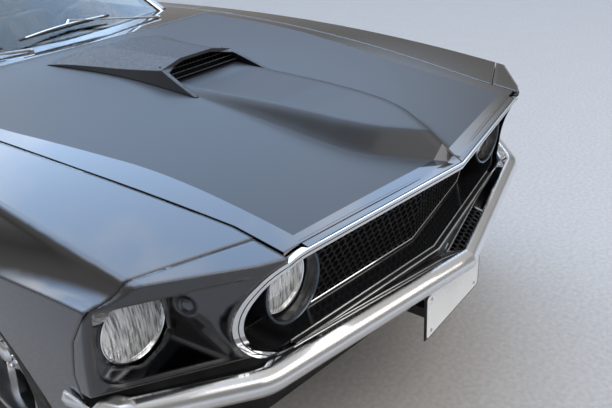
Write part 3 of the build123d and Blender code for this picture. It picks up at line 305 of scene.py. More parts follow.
def touch(node, origin, direction):
    """Where a straight line first meets a CAD piece, and the face's outward direction."""
    hit, place, normal, _ = nodes[node].ray_cast(Vector(origin), Vector(direction))
    return (place, normal) if hit else (Vector(origin), -Vector(direction))


ring_half, ring_middle, ring_radius = 0.640, 0.6195, 0.1375


def ring_path(inset, steps=26, span=60):
    """Points (x, z) once round the grille opening, inset from its outside."""
    radius, straight = ring_radius - inset, ring_half - ring_radius
    path = []
    for side in (1, -1):
        for i in range(span):
            path.append((side * straight * (2 * i / span - 1), ring_middle + side * radius))
        for i in range(steps):
            turn = math.pi * i / steps
            path.append((side * (straight + radius * math.sin(turn)),
                         ring_middle + side * radius * math.cos(turn)))
    return path


def ring_strip(outer, inner, proud):
    """A flat strip on the moulding's face, between two insets."""
    strip = Shape()
    outside, inside = ring_path(outer), ring_path(inner)
    for i, (ax, az) in enumerate(outside):
        k = (i + 1) % len(outside)
        quad = [(x, nose_y(x, z) - proud, z)
                for x, z in ((ax, az), inside[i], inside[k], outside[k])]
        back = [(x, y + proud + 0.001, z) for x, y, z in quad]
        strip.add(quad + back, [(0, 1, 2, 3), (0, 4, 5, 1), (2, 6, 7, 3)])
    return strip


# A thin dark strip laid on the moulding's face as painted shade in its groove
painted_groove_shade = ring_strip(0.0085, 0.0105, 0.0004)
painted_groove_shade.piece("moulding_painted_groove_shade", rubber, slot="black_trim", smooth=False)
# The hood's front flange laps over the moulding, down to its front edge
flange, flange_half, flange_parts = Shape(), 0.500, 20
for side in (-1, 1):
    rows = []
    for i in range(flange_parts + 1):
        x = side * flange_half * i / flange_parts
        y = nose_y(x, nose_top)
        hood_z = touch("hood", (x, y + 0.026, 1.2), (0, 0, -1))[0].z
        lip_z = touch("grille_surround", (x, y + 0.008, 1.2), (0, 0, -1))[0].z
        section = ((0.027, hood_z + 0.0004), (0.016, lip_z + 0.0016), (0.0045, lip_z + 0.0014),
                   (0.0030, lip_z + 0.0004), (0.0045, lip_z + 0.0002), (0.027, hood_z - 0.0006))
        rows.append([(x, y + behind, z) for behind, z in section])
    flange.rings(rows if side > 0 else [list(reversed(row)) for row in rows])
flange.piece("hood_flange", gunmetal_paint("flange_paint"), "hood", slot="body_paint")
# The lower run is a black channel between a bright front and a bright back edge
channel, run_half, run_top = Shape(), 0.500, 0.500
groove_low, groove_high, groove_proud, deck_proud = 0.4835, 0.4978, 0.0008, 0.0008
for start, end in ((-run_half, 0.0), (0.0, run_half)):
    corners = ((start, groove_low), (end, groove_low), (end, groove_high), (start, groove_high))
    face = [(x, nose_y(x, z) - groove_proud, z) for x, z in corners]
    channel.add(face + [(x, y + 0.004, z) for x, y, z in face],
                [(0, 1, 2, 3), (4, 7, 6, 5), (0, 3, 7, 4),
                 (1, 5, 6, 2), (3, 2, 6, 7), (0, 4, 5, 1)])
    corners = ((start, 0.0022), (end, 0.0022), (end, 0.0138), (start, 0.0138))
    deck = [(x, nose_y(x, run_top) + behind, run_top + deck_proud) for x, behind in corners]
    channel.add(deck + [(x, y, z - 0.002) for x, y, z in deck],
                [(3, 2, 1, 0), (4, 5, 6, 7), (0, 1, 5, 4),
                 (1, 2, 6, 5), (2, 3, 7, 6), (3, 0, 4, 7)])
channel.piece("moulding_channel", black_trim, slot="black_trim", smooth=False)
satin_steel = finish("satin_steel", (0.88, 0.89, 0.90), 0.28, metallic=1.0, grain=60, spread=0.04)
edges, edge_radius = Shape(), 0.0017
for behind, height in ((-0.0004, 0.4990), (0.0150, 0.5022)):
    edges.tube([(share * run_half, nose_y(share * run_half, run_top) + behind, height)
                for share in (-1, -0.5, 0, 0.5, 1)], edge_radius, sides=8)
edges.piece("channel_edges", satin_steel, slot="chrome")


# ---- Grille ----------------------------------------------------------------
# Moulded honeycomb in satin black, held behind the moulding in a thin bright
# frame.
cell_pitch, cell_bar, cell_depth, cell_draft = 0.0215, 0.0048, 0.012, 0.94
mesh_half, mesh_low, mesh_high, mesh_setback = 0.384, 0.5005, 0.7385, 0.084
row_step = cell_pitch * math.sqrt(3) / 2
outer_radius = cell_pitch / math.sqrt(3)
inner_radius = (cell_pitch - cell_bar) / math.sqrt(3)
first_row_z, cut_cell = mesh_low + 0.004, 0.4 * cell_pitch


def cell_ring(x, z, radius, depth):
    """One hexagon of a cell, cut off at the frame, at a depth behind the grille's face."""
    ring = []
    for turn in (math.radians(30 + 60 * i) for i in range(6)):
        px = max(-mesh_half, min(mesh_half, x + radius * math.cos(turn)))
        pz = max(mesh_low, min(mesh_high, z + radius * math.sin(turn)))
        ring.append((px, nose_y(px, pz) + mesh_setback + depth, pz))
    return ring


honeycomb = Shape()
for row in range(math.ceil((mesh_high + row_step - first_row_z) / row_step)):
    z = first_row_z + row * row_step
    for column in range(-19, 20):
        x = (column + 0.5 * (row % 2)) * cell_pitch
        if abs(x) < mesh_half + cut_cell and z < mesh_high + cut_cell:
            honeycomb.rings([cell_ring(x, z, outer_radius, 0.0),
                             cell_ring(x, z, inner_radius, 0.0),
                             cell_ring(x, z, inner_radius * cell_draft, cell_depth),
                             cell_ring(x, z, outer_radius, cell_depth)], caps=False)
honeycomb.piece("grille_honeycomb", black_trim, slot="black_trim", replaces=("grille",),
                smooth=False)
frame_inset, frame_proud = 0.004, 0.003
frame_path = [(share * mesh_half, nose_y(share * mesh_half, edge_z) + mesh_setback - frame_proud, z)
              for edge_z, z, shares in ((mesh_low, mesh_low + frame_inset, (-1, 0, 1)),
                                        (mesh_high, mesh_high - frame_inset, (1, 0, -1)))
              for share in shares]
grille_frame = Shape()
for start, end in zip(frame_path, frame_path[1:] + frame_path[:1]):
    grille_frame.bar(start, end, 0.006, 0.005)
grille_frame.piece("grille_frame", chrome, slot="chrome")
dress(finish("shroud_black", (0.010, 0.011, 0.013), 0.2, coat=0.6, grain=240, spread=0.2,
             soften=0.004), "grille_shroud")


# ---- Headlamps -------------------------------------------------------------
# Sealed round lamps in thin bright rims: fluted glass over a silvered bowl, the
# inner pair in deep buckets with a dark lip, and a marker lamp in the wall
# beside each.
def glassy(name, colour, roughness=0.02, ior=1.46, ripple=0.0, ripple_scale=160.0):
    """Clear or tinted glass, with the fine waviness of a pressed or rolled pane."""
    material = finish(name, colour, roughness, grain=6, spread=0.03)
    tree = material.node_tree
    shader = tree.nodes["Principled BSDF"]
    shader.inputs["Transmission Weight"].default_value = 1.0
    shader.inputs["IOR"].default_value = ior
    if ripple:
        place = add_node(tree, "ShaderNodeTexCoord").outputs["Object"]
        wave = add_node(tree, "ShaderNodeTexNoise", [("Vector", place), ("Scale", ripple_scale)])
        relief = add_node(tree, "ShaderNodeBump", [("Strength", ripple), ("Distance", 0.0005),
                                                   ("Height", wave.outputs["Fac"])])
        tree.links.new(relief.outputs["Normal"], shader.inputs["Normal"])
    return material


lamp_glass = glassy("lamp_glass", (0.93, 0.94, 0.93), 0.05, ripple=0.25)
lamp_web = lamp_glass.node_tree
lamp_shader = lamp_web.nodes["Principled BSDF"]
lamp_shader.inputs["Transmission Weight"].default_value = 0.42
# The glass's colour is painted in light and dark streaks, as painted highlight and shade for the
# bowl that the flutes draw out behind them
painted_streak_ramp = lamp_shader.inputs["Base Color"].links[0].from_node
painted_shade_streak, painted_highlight_streak = painted_streak_ramp.color_ramp.elements
painted_shade_streak.position, painted_shade_streak.color = 0.36, (0.22, 0.23, 0.24, 1)
painted_highlight_streak.position, painted_highlight_streak.color = 0.56, (1.0, 1.0, 1.0, 1)
streaks = painted_streak_ramp.inputs["Fac"].links[0].from_node
streaks.inputs["Scale"].default_value = 1.0
lens_place = streaks.inputs["Vector"].links[0].from_socket
stretch = add_node(lamp_web, "ShaderNodeMapping",
                   [("Vector", lens_place), ("Scale", (240, 30, 26))])
lamp_web.links.new(stretch.outputs["Vector"], streaks.inputs["Vector"])
silvering = finish("silvering", (0.93, 0.94, 0.93), 0.12, metallic=1.0, grain=60, spread=0.05)

outer_lamp, inner_lamp = (0.748, -2.0125, 0.625), (0.477, -2.1600, 0.633)
lamps = [(side * x, y, z) for side in (-1, 1) for x, y, z in (outer_lamp, inner_lamp)]
lens_radius, lens_dome, lens_thickness = 0.0715, 0.009, 0.0026
fluted_height, fluted_reach, lens_columns, lens_rows = 0.050, 0.94, 100, 26


def lens_relief(x, z, reach):
    """Height of the upright flutes and level ribs at a place on the lens."""
    if abs(z) >= fluted_height or reach >= fluted_reach:
        return 0.0
    return sum(rise * (0.5 - 0.5 * math.cos(2 * math.pi * at / pitch))
               for at, pitch, rise in ((x, 0.0072, 0.0017), (z, 0.024, 0.0007)))


bowl_depth, lip_depth, bowl_rings = 0.031, 0.0125, 12
bowl_profile = [(lip_depth + (bowl_depth - lip_depth) * (1 - (r / bowl_rings) ** 2),
                 lens_radius * r / bowl_rings) for r in range(bowl_rings, -1, -1)]
filament_shield = [(0.010, 0.0), (0.011, 0.010), (0.016, 0.013), (0.024, 0.012)]
lenses, bowls = Shape(), Shape()
for cx, cy, cz in lamps:
    # The outer face shows half of the relief, and the inner face mirrors all of it
    for depth, relief_share in ((0.0, 0.55), (lens_thickness, -1.0)):
        grid = []
        for i in range(lens_columns + 1):
            x = lens_radius * (2 * i / lens_columns - 1) * 0.9995
            half = math.sqrt(lens_radius**2 - x**2)
            column = []
            for j in range(lens_rows + 1):
                z = half * (2 * j / lens_rows - 1)
                reach = math.hypot(x, z) / lens_radius
                back = lens_dome * reach**2 + depth + lens_relief(x, z, reach) * relief_share
                column.append((cx + x, cy + back, cz + z))
            grid.append(column if depth == 0 else list(reversed(column)))
        lenses.rings(grid, closed=False, caps=False)
    bowls.turned(bowl_profile, (cx, cy, cz), (0, 1, 0), sides=48)
    bowls.turned(filament_shield, (cx, cy, cz), (0, 1, 0), sides=24)
lenses.piece("headlamp_lenses", lamp_glass, slot="lamp_glass", replaces=("front_lamps",))
bowls.piece("headlamp_bowls", silvering, slot="chrome")

wall_start, wall_end = Vector((0.640, -2.150)), Vector((0.689, -2.020))
marker, marker_z = wall_start + (wall_end - wall_start) * 0.58, 0.655
marker_out = Vector((wall_end.y - wall_start.y, wall_start.x - wall_end.x)).normalized()
bucket_front_y = -2.1897
rim_profile = [(0.012, 0.0712), (0.008, 0.0712), (0.0045, 0.0722), (0.0035, 0.0738),
               (0.0045, 0.0755), (0.008, 0.0765), (0.013, 0.0767)]
lip_profile = [(0.004, 0.0796), (0.0, 0.0800), (-0.0022, 0.0825), (-0.0022, 0.0848),
               (0.0, 0.0870), (0.004, 0.0874)]
marker_profile = [(0.0, 0.0166), (0.0025, 0.0160), (0.0055, 0.0110), (0.0065, 0.0050),
                  (0.0068, 0.0)]
marker_rim_profile = [(-0.001, 0.0190), (0.0035, 0.0188), (0.0045, 0.0178), (0.0035, 0.0168),
                      (0.0, 0.0165)]
rims, bucket_lips, markers, marker_rims = Shape(), Shape(), Shape(), Shape()
for lamp_place in lamps:
    rims.turned(rim_profile, lamp_place, (0, 1, 0), sides=96)
for side in (-1, 1):
    bucket_lips.turned(lip_profile, (side * inner_lamp[0], bucket_front_y, inner_lamp[2]),
                       (0, 1, 0), sides=96)
    at = (side * marker.x, marker.y, marker_z)
    out = (side * marker_out.x, marker_out.y, 0)
    markers.turned(marker_profile, at, out, sides=40)
    marker_rims.turned(marker_rim_profile, at, out, sides=40)
for part in (rims, bucket_lips, marker_rims):
    part.faces = [f for f in part.faces if len(f) == 4]
rims.piece("lamp_rims", chrome, slot="chrome")
lip_metal = finish("lip_metal", (0.10, 0.12, 0.15), 0.3, metallic=0.9, grain=120, spread=0.15)
bucket_lips.piece("bucket_lips", lip_metal, slot="black_trim")
marker_lens = finish("marker_lens", (0.050, 0.055, 0.065), 0.06, metallic=0.5, coat=1.0, grain=900,
                     spread=0.3, bump=0.3)
markers.piece("marker_lenses", marker_lens, slot="lamp_glass")
marker_rims.piece("marker_rims", body_paint, slot="body_paint")
dress(body_paint, "lamp_bezels")


# ---- Bumpers and plates ----------------------------------------------------
# Pressed steel bumpers, polished and chromed, on frame irons; blank white
# plates screwed on brackets.
dress(finish("bumper_chrome", (0.86, 0.87, 0.89), 0.05, metallic=1.0, grain=14, spread=0.03,
             soften=0.012), "front_bumper", "rear_bumper")
# The valance is black, made darker and flatter than the body paint as painted shade under the
# bumper
dress(finish("valance_black_painted_shade", (0.006, 0.006, 0.007), 0.62, grain=200, spread=0.25, bump=0.1,
             specular=0.25), "front_valance")
dress(black_trim, "plate_bracket")
plate_white = finish("plate_white", (0.80, 0.81, 0.80), 0.32, coat=0.4, grain=250, spread=0.04)
screw_steel = finish("screw_steel", (0.55, 0.55, 0.56), 0.25, metallic=1.0, grain=400, spread=0.1)


def rounded(half_width, half_height, corner, parts):
    """Points (x, z) once round a rectangle with round corners, about its middle."""
    outline = []
    for sx, sz, begin in ((1, 1, 0), (-1, 1, 90), (-1, -1, 180), (1, -1, 270)):
        for i in range(parts + 1):
            turn = math.radians(begin + 90 * i / parts)
            outline.append((sx * (half_width - corner) + corner * math.cos(turn),
                            sz * (half_height - corner) + corner * math.sin(turn)))
    return outline


def plate(name, centre, facing, width=0.300, height=0.128, screw_x=0.125, screw_z=0.048):
    """A blank plate with a raised border, a dark edge and four screws."""
    sheet, border, screws = Shape(), Shape(), Shape()
    cx, cy, cz = centre
    outline = rounded(width / 2, height / 2, corner=0.010, parts=5)
    rings = []
    for depth, inset in ((0.0, 0.0), (0.0016, 0.0), (0.0024, 0.0008), (0.0026, 0.003),
                         (0.0016, 0.0042)):
        scale_x, scale_z = 1 - 2 * inset / width, 1 - 2 * inset / height
        rings.append([(cx + x * scale_x * -facing, cy + facing * depth, cz + z * scale_z)
                      for x, z in outline])
    sheet.rings(rings)
    sheet.piece(name, plate_white, slot="body_paint")
    path = [(cx + x * 1.004 * -facing, cy + facing * 0.0008, cz + z * 1.008) for x, z in outline]
    border.tube(path, 0.0022, sides=8, loop=True)
    border.piece(name + "_edge", black_trim, slot="black_trim")
    for x, z in ((-screw_x, -screw_z), (-screw_x, screw_z),
                 (screw_x, -screw_z), (screw_x, screw_z)):
        screws.turned([(0.001, 0.0045), (0.0032, 0.0045), (0.0042, 0.0030), (0.0044, 0.0)],
                      (cx + x, cy, cz + z), (0, facing, 0), sides=16)
    screws.piece(name + "_screws", screw_steel, slot="chrome")


plate("front_plate", (0.0, -2.3222, 0.386), -1)
plate("rear_plate", (0.0, 2.3062, 0.600), 1)


# ---- Windscreen, windows and wipers ----------------------------------------
# Lightly tinted laminated glass in bright stainless mouldings, and chromed
# wiper arms with rubber blades.
pane_glass = glassy("pane_glass", (0.78, 0.84, 0.84), 0.004, ior=1.32, ripple=0.03,
                    ripple_scale=3.0)
dress(pane_glass, "fixed_glass", "door_glass_left", "door_glass_right")
# Sections of each screen, as (y, half width at the rail, rail height, crown height)
windscreen = ((-0.800, 0.675, 0.738, 0.866), (-0.075, 0.575, 1.198, 1.243))
backlight = ((0.880, 0.560, 1.142, 1.198), (1.300, 0.545, 1.035, 1.085),
             (1.740, 0.520, 0.915, 0.958))


def screen_height(sections, x, y):
    """Height of the curved glass surface at a place."""
    for (y0, r0, z0, c0), (y1, r1, z1, c1) in zip(sections[:-1], sections[1:]):
        if y <= y1 or sections[-1][0] == y1:
            t = (y - y0) / (y1 - y0)
            rail, low, crown = r0 + (r1 - r0) * t, z0 + (z1 - z0) * t, c0 + (c1 - c0) * t
            rise = crown - low
            bow = (rail**2 + rise**2) / (2 * rise)
            return crown - bow + math.sqrt(max(bow**2 - x**2, 0))


def over_glass(sections, corners, sunk, step=0.03):
    """A path over the glass through corners (x, y), with points between, sunk a little in it."""
    flat = []
    for start, end in zip(corners[:-1], corners[1:]):
        start, end = Vector(start), Vector(end)
        parts = max(1, round((end - start).length / step))
        flat += [start.lerp(end, i / parts) for i in range(parts)]
    flat.append(Vector(corners[-1]))
    return [(x, y, screen_height(sections, x, y) - sunk) for x, y in flat]


def raised(point, height):
    """A point moved straight up."""
    return Vector(point) + Vector((0, 0, height))


mouldings = Shape()
sill_x, sill_y, head_x, head_y, foot_y = 0.630, -0.800, 0.530, -0.120, -0.590
foot_x = sill_x - (sill_x - head_x) / (head_y - sill_y) * (foot_y - sill_y)
front_path = over_glass(windscreen, [(-foot_x, foot_y), (-head_x, head_y), (head_x, head_y),
                                     (foot_x, foot_y)], sunk=0.002)
mouldings.tube(front_path, 0.0085, sides=10, flat=0.55)
rear_path = over_glass(backlight, [(-0.500, 0.905), (-0.462, 1.640), (0.462, 1.640),
                                   (0.500, 0.905), (-0.500, 0.905)], sunk=0.001)
mouldings.tube(rear_path[:-1], 0.008, sides=10, loop=True, flat=0.55)
mouldings.piece("screen_mouldings", chrome, slot="chrome")
wiper_chrome = finish("wiper_chrome", (0.80, 0.81, 0.82), 0.10, metallic=1.0, grain=80, spread=0.04)
arms, blades = Shape(), Shape()
for pivot, knuckle, start, end in (
    ((-0.160, -0.750, 0.914), (-0.440, -0.640, 0.925),
     (-0.230, -0.690, 0.932), (-0.640, -0.560, 0.925)),
    ((0.468, -0.694, 0.908), (0.075, -0.645, 0.966),
     (0.260, -0.640, 0.952), (-0.155, -0.678, 0.943)),
):
    pivot, knuckle, start, end = (Vector(p) for p in (pivot, knuckle, start, end))
    arms.turned([(-0.016, 0.010), (-0.004, 0.010), (0.002, 0.0105), (0.005, 0.008), (0.006, 0.0)],
                pivot, (0, 0, 1), sides=24)
    heel, middle = pivot.lerp(knuckle, 0.28), start.lerp(end, 0.5)
    arms.bar(raised(pivot, 0.001), heel, 0.018, 0.010, taper=0.85)
    arms.bar(heel, knuckle, 0.012, 0.006, taper=0.75)
    arms.bar(knuckle, raised(middle, 0.004), 0.010, 0.007)
    arms.tube([raised(start.lerp(end, share), lift) for share, lift in (
        (0.06, 0), (0.28, 0.005), (0.5, 0.007), (0.72, 0.005), (0.94, 0))], 0.0038, sides=8)
    blades.bar(raised(start, -0.002), raised(end, -0.002), 0.0055, 0.007)
arms.piece("wiper_arms", wiper_chrome, slot="chrome", replaces=("wipers",))
blades.piece("wiper_blades", rubber, slot="black_trim")


# ---- Doors -----------------------------------------------------------------
# Door skins carry a chromed pull handle with a lock barrel below it.
def on_skin(door, side, y, z):
    """Where a door's skin lies, seen from outside, and its outward direction."""
    return touch(door, (side * 1.2, y, z), (-side, 0, 0))


handle_ends, handle_z, lock_y, lock_z = (0.335, 0.480), 0.795, 0.470, 0.745
base_profile = [(-0.004, 0.015), (0.002, 0.015), (0.004, 0.010)]
lock_profile = [(-0.004, 0.010), (0.002, 0.010), (0.0035, 0.007), (0.003, 0.0)]
for side, door in ((1, "door_left"), (-1, "door_right")):
    handle, path = Shape(), []
    for y, lift in ((handle_ends[0], 0.0), (0.350, 0.016), (0.385, 0.021), (0.430, 0.021),
                    (0.465, 0.016), (handle_ends[1], 0.0)):
        path.append(on_skin(door, side, y, handle_z)[0] + Vector((side * lift, 0, 0)))
    handle.tube(path, [0.009, 0.0095, 0.010, 0.010, 0.0095, 0.009], sides=12, flat=0.7)
    for y in handle_ends:
        handle.turned(base_profile, *on_skin(door, side, y, handle_z), sides=20)
    handle.turned(lock_profile, *on_skin(door, side, lock_y, lock_z), sides=20)
    handle.piece(f"{door}_handle", chrome, door, slot="chrome")


# ---- Seats, dashboard and steering wheel -----------------------------------
# Foam pads under black grained vinyl with sewn channels, a padded dashboard,
# and a thin-rimmed wheel on metal spokes.
seat_vinyl = finish("seat_vinyl", (0.020, 0.020, 0.022), 0.42, grain=420, spread=0.2, bump=0.35)
dash_vinyl = finish("dash_vinyl", (0.024, 0.024, 0.026), 0.5, grain=520, spread=0.2, bump=0.4)


def pad(name, centre, forward, half_width, half_length, rise, fall, channels, replaces=()):
    """A crowned pad whose sides pull in between its corners, with sewn channels along it."""
    across, forward = Vector((1, 0, 0)), Vector(forward).normalized()
    over = across.cross(forward)
    steps, seam_depth, seam_half, shape = 44, 0.011, 0.16, Shape()
    for sign, height in ((1, rise), (-1, fall)):
        grid = []
        for i in range(steps + 1):
            row = []
            u = math.sin(math.pi * (i / steps - 0.5))
            for j in range(steps + 1):
                v = math.sin(math.pi * (j / steps - 0.5))
                pull = 1 - 0.035 * (1 - abs(u)) * (1 if abs(v) > 0.9 else 0.4)
                full = (max(1 - abs(u) ** 5, 0) * max(1 - abs(v) ** 5, 0)) ** 0.32
                lift = height * full
                if sign > 0 and abs(u) < 0.78 and abs(v) < 0.8:
                    from_seam = ((u * channels) % 2 - 1) / seam_half
                    lift -= seam_depth * math.exp(-from_seam**2) * full
                row.append(Vector(centre) + across * half_width * u * pull
                           + forward * half_length * v * pull + over * lift * sign)
            grid.append(row if sign > 0 else list(reversed(row)))
        shape.rings(grid, closed=False, caps=False)
    piece = shape.piece(name, seat_vinyl, slot="seat_vinyl", replaces=replaces)
    weld = piece.modifiers.new("weld", "WELD")
    weld.merge_threshold = 0.0004


seat_x, leaning = 0.41, (0, 0.34, 0.94)
for side, word in ((1, "left"), (-1, "right")):
    middle = side * seat_x
    pad(f"seat_cushion_{word}", (middle, 0.115, 0.395), (0, 1, 0.06), 0.225, 0.235, 0.062, 0.085, 5,
        replaces=("front_seats",) if word == "left" else ())
    pad(f"seat_back_{word}", (middle, 0.425, 0.655), leaning, 0.222, 0.215, 0.055, 0.045, 5)
    base = Shape()
    for x in (middle - 0.17, middle + 0.17):
        base.bar((x, -0.10, 0.285), (x, 0.36, 0.285), 0.035, 0.048)
    base.bar((middle, -0.08, 0.312), (middle, 0.34, 0.312), 0.40, 0.02)
    base.piece(f"seat_runner_{word}", black_trim, slot="black_trim")
pad("bench_cushion", (0, 0.840, 0.440), (0, 1, 0), 0.555, 0.140, 0.040, 0.050, 11,
    replaces=("rear_seat",))
pad("bench_back", (0, 1.045, 0.640), leaning, 0.555, 0.145, 0.042, 0.035, 11)

dress(dash_vinyl, "dashboard")
dials, dial_faces = Shape(), Shape()
dial_out, dial_y, dial_z = Vector((0, 0.83, 0.55)), -0.379, 0.821
for x, radius in ((0.235, 0.030), (0.320, 0.040), (0.420, 0.040), (0.505, 0.030)):
    at, half = (x, dial_y, dial_z), radius * 0.5
    dials.turned([(-0.002, radius), (0.007, radius), (0.010, radius - 0.004),
                  (0.004, radius - 0.006)], at, dial_out, sides=36)
    dial_faces.turned([(0.0, radius - 0.005), (0.0035, radius - 0.005), (0.0036, 0.0)],
                      at, dial_out, sides=36)
    needle = Vector(at) + dial_out.normalized() * 0.005
    dials.bar(needle, needle + Vector((half, -0.55 * half, 0.83 * half)), 0.002, 0.001, up=dial_out)
dials.faces = [f for f in dials.faces if len(f) <= 8]
dials.piece("dial_bezels", chrome, slot="chrome")
dial_faces.piece("dial_faces", black_trim, slot="black_trim")

wheel_middle, wheel_radius = Vector((0.370, -0.230, 0.800)), 0.178
column = Vector((0, 0.9, 0.42)).normalized()
right = Vector((1, 0, 0))
over = right.cross(column).normalized()
grip, spokes = Shape(), Shape()
grip.tube([wheel_middle + (right * c + over * s) * wheel_radius for c, s in circle(64)], 0.0118,
          sides=12, loop=True)
grip.turned([(-0.018, 0.030), (0.006, 0.040), (0.016, 0.034), (0.019, 0.0)], wheel_middle, column,
            sides=36)
steering_grip = finish("steering_grip", (0.018, 0.018, 0.019), 0.3, grain=260, spread=0.2, bump=0.1)
grip.piece("steering_rim", steering_grip, "steering_wheel", slot="steering_grip",
           replaces=("steering_wheel",))
for away in (right, -right, -over):
    spokes.bar(wheel_middle + away * 0.030, wheel_middle + away * 0.172, 0.026, 0.0035, up=column,
               taper=0.6)
spoke_metal = finish("spoke_metal", (0.62, 0.62, 0.62), 0.24, metallic=1.0, grain=600, spread=0.08)
spokes.piece("steering_spokes", spoke_metal, "steering_wheel", slot="chrome")


# ---- Engine bay ------------------------------------------------------------
# Cast iron block with pressed covers, a round air cleaner, pulleys and belt,
# and the radiator with its hose.
engine_iron = finish("engine_iron", (0.085, 0.09, 0.10), 0.5, metallic=0.6, grain=160,
                     spread=0.3, bump=0.4)
dress(engine_iron, "engine")
cover_paint = finish("cover_paint", (0.02, 0.05, 0.16), 0.3, coat=0.5, grain=220, bump=0.05)
covers, cleaner, pulleys, belts = Shape(), Shape(), Shape(), Shape()
cover_x, cover_y = 0.175, -1.39
for x in (-cover_x, cover_x):
    # Rings as (height, half width, half length)
    covers.rings([[(x + sx * half_wide, cover_y + sy * half_long, height)
                   for sx, sy in ((1, 1), (-1, 1), (-1, -1), (1, -1))]
                  for height, half_wide, half_long in
                  ((0.741, 0.060, 0.300), (0.772, 0.058, 0.296), (0.786, 0.047, 0.280))])
    covers.bar((x, cover_y - 0.25, 0.787), (x, cover_y + 0.25, 0.787), 0.02, 0.006)
covers.piece("rocker_covers", cover_paint, slot="engine_iron")
cleaner.turned([(0.0, 0.06), (0.018, 0.06), (0.018, 0.165), (0.024, 0.172), (0.052, 0.172),
                (0.058, 0.165), (0.062, 0.030), (0.070, 0.014), (0.076, 0.012), (0.077, 0.0)],
               (0, -1.37, 0.740), (0, 0, 1), sides=64)
cleaner.piece("air_cleaner", chrome, slot="chrome")
# Pulleys as (x, z, radius, where the belt meets it and leaves it in degrees)
crank, pump, alternator = ((0.0, 0.420, 0.085, 200, 330), (0.0, 0.600, 0.070, 80, 190),
                           (0.17, 0.560, 0.045, -30, 100))
for x, z, radius, _, _ in (crank, pump, alternator):
    pulleys.turned([(0.0, radius * 0.4), (-0.012, radius * 0.4), (-0.012, radius),
                    (-0.018, radius * 0.86), (-0.024, radius), (-0.030, radius * 0.9),
                    (-0.022, 0.02), (-0.034, 0.015), (-0.036, 0.0)],
                   (x, -1.780, z), (0, 1, 0), sides=40)
pulleys.piece("pulleys", engine_iron, slot="engine_iron")
belt_path, belt_y = [], -1.798
for (x, z, _, begin, end), radius in ((crank, 0.079), (alternator, 0.042), (pump, 0.065)):
    for i in range(9):
        turn = math.radians(begin + (end - begin) * i / 8)
        belt_path.append((x + radius * math.cos(turn), belt_y, z + radius * math.sin(turn)))
belts.tube(belt_path, 0.0055, sides=8, loop=True)
belts.tube([(-0.14, -1.946, 0.660), (-0.14, -1.915, 0.660), (-0.12, -1.87, 0.672),
            (-0.08, -1.82, 0.700), (-0.06, -1.782, 0.705)], 0.021, sides=16)
belts.piece("belt_and_hose", rubber, slot="black_trim")
radiator_metal = finish("radiator_metal", (0.03, 0.03, 0.032), 0.45, metallic=0.5, grain=300,
                        spread=0.2)
dress(radiator_metal, "radiator")
fins, core_half, fin_pitch, tube_pitch = Shape(), 0.285, 0.0056, 0.0317
for i in range(46):
    z = 0.425 + i * fin_pitch
    fins.bar((-core_half, -1.9485, z), (core_half, -1.9485, z), 0.003, 0.0018, chamfer=0.1)
for i in range(19):
    x = -core_half + i * tube_pitch
    fins.bar((x, -1.9492, 0.420), (x, -1.9492, 0.682), 0.003, 0.003, up=(0, 1, 0), chamfer=0.1)
fins.piece("radiator_fins", radiator_metal, slot="radiator_metal")


# ---- Underbody -------------------------------------------------------------
# Rails, arms, axle and floor under sprayed black underseal, with a bare steel
# exhaust and a zinc-coated tank.
dress(finish("underseal", (0.020, 0.020, 0.021), 0.6, grain=200, spread=0.3, bump=0.5),
      "floor_pan", "front_frame", "rear_axle", "front_aprons")
dress(finish("forged_steel", (0.10, 0.10, 0.105), 0.45, metallic=0.8, grain=150,
             spread=0.25, bump=0.2),
      "knuckle_left", "knuckle_right")
dress(finish("exhaust_steel", (0.42, 0.40, 0.37), 0.35, metallic=1.0, grain=30,
             spread=0.25, bump=0.05),
      "exhaust")
dress(finish("zinc", (0.45, 0.46, 0.47), 0.42, metallic=0.9, grain=60, spread=0.2, bump=0.1),
      "fuel_tank")
tips = Shape()
for side in (-1, 1):
    tips.turned([(-0.115, 0.0285), (-0.110, 0.0315), (0.004, 0.0330), (0.006, 0.0325),
                 (0.004, 0.0300), (-0.080, 0.0270), (-0.090, 0.001)],
                (side * 0.455, 2.340, 0.262), (0, 1, 0), sides=40)
tips.piece("exhaust_tips", chrome, slot="chrome")


# ---- Tail ------------------------------------------------------------------
# Three upright ribbed red lenses a side in thin bright frames, and a round
# chromed fuel cap in the middle of the tail panel.
tail_red = finish("tail_lens", (0.34, 0.012, 0.014), 0.10, coat=1.0, grain=120, spread=0.15)
lens_shape, bezels = Shape(), Shape()
lens_back_y, lens_front_y, bezel_y, lens_low_z, lens_middle_z = 2.3064, 2.3197, 2.3095, 0.655, 0.745
lens_half, flat_half, ribs, rib_depth = 0.0305, 0.0265, 60, 0.0012
for x in (-0.430, -0.520, -0.610, 0.430, 0.520, 0.610):
    rows = []
    for i in range(ribs + 1):
        z = lens_low_z + 0.180 * i / ribs
        proud = lens_front_y - rib_depth * (i % 2) - (0.004 if i in (0, ribs) else 0)
        rows.append([(x - lens_half, lens_back_y, z), (x - lens_half, proud - 0.004, z),
                     (x - flat_half, proud, z), (x + flat_half, proud, z),
                     (x + lens_half, proud - 0.004, z), (x + lens_half, lens_back_y, z)])
    lens_shape.rings(rows)
    outline = rounded(0.0315, 0.0905, corner=0.0075, parts=4)
    bezels.tube([(x + px, bezel_y, lens_middle_z + pz) for px, pz in outline], 0.0035, sides=8,
                loop=True)
lens_shape.piece("tail_lenses", tail_red, slot="tail_lens", replaces=("tail_lamps",),
                 smooth=False)
bezels.piece("tail_bezels", chrome, slot="chrome")
cap = Shape()
cap.turned([(0.0, 0.056), (0.003, 0.056), (0.006, 0.050), (0.0045, 0.046), (0.0045, 0.030),
            (0.008, 0.027), (0.009, 0.0)], (0, 2.328, lens_middle_z), (0, 1, 0), sides=64)
cap.bar((-0.020, 2.3375, lens_middle_z), (0.020, 2.3375, lens_middle_z), 0.008, 0.005, up=(0, 1, 0))
cap.piece("fuel_cap_face", chrome, slot="chrome")


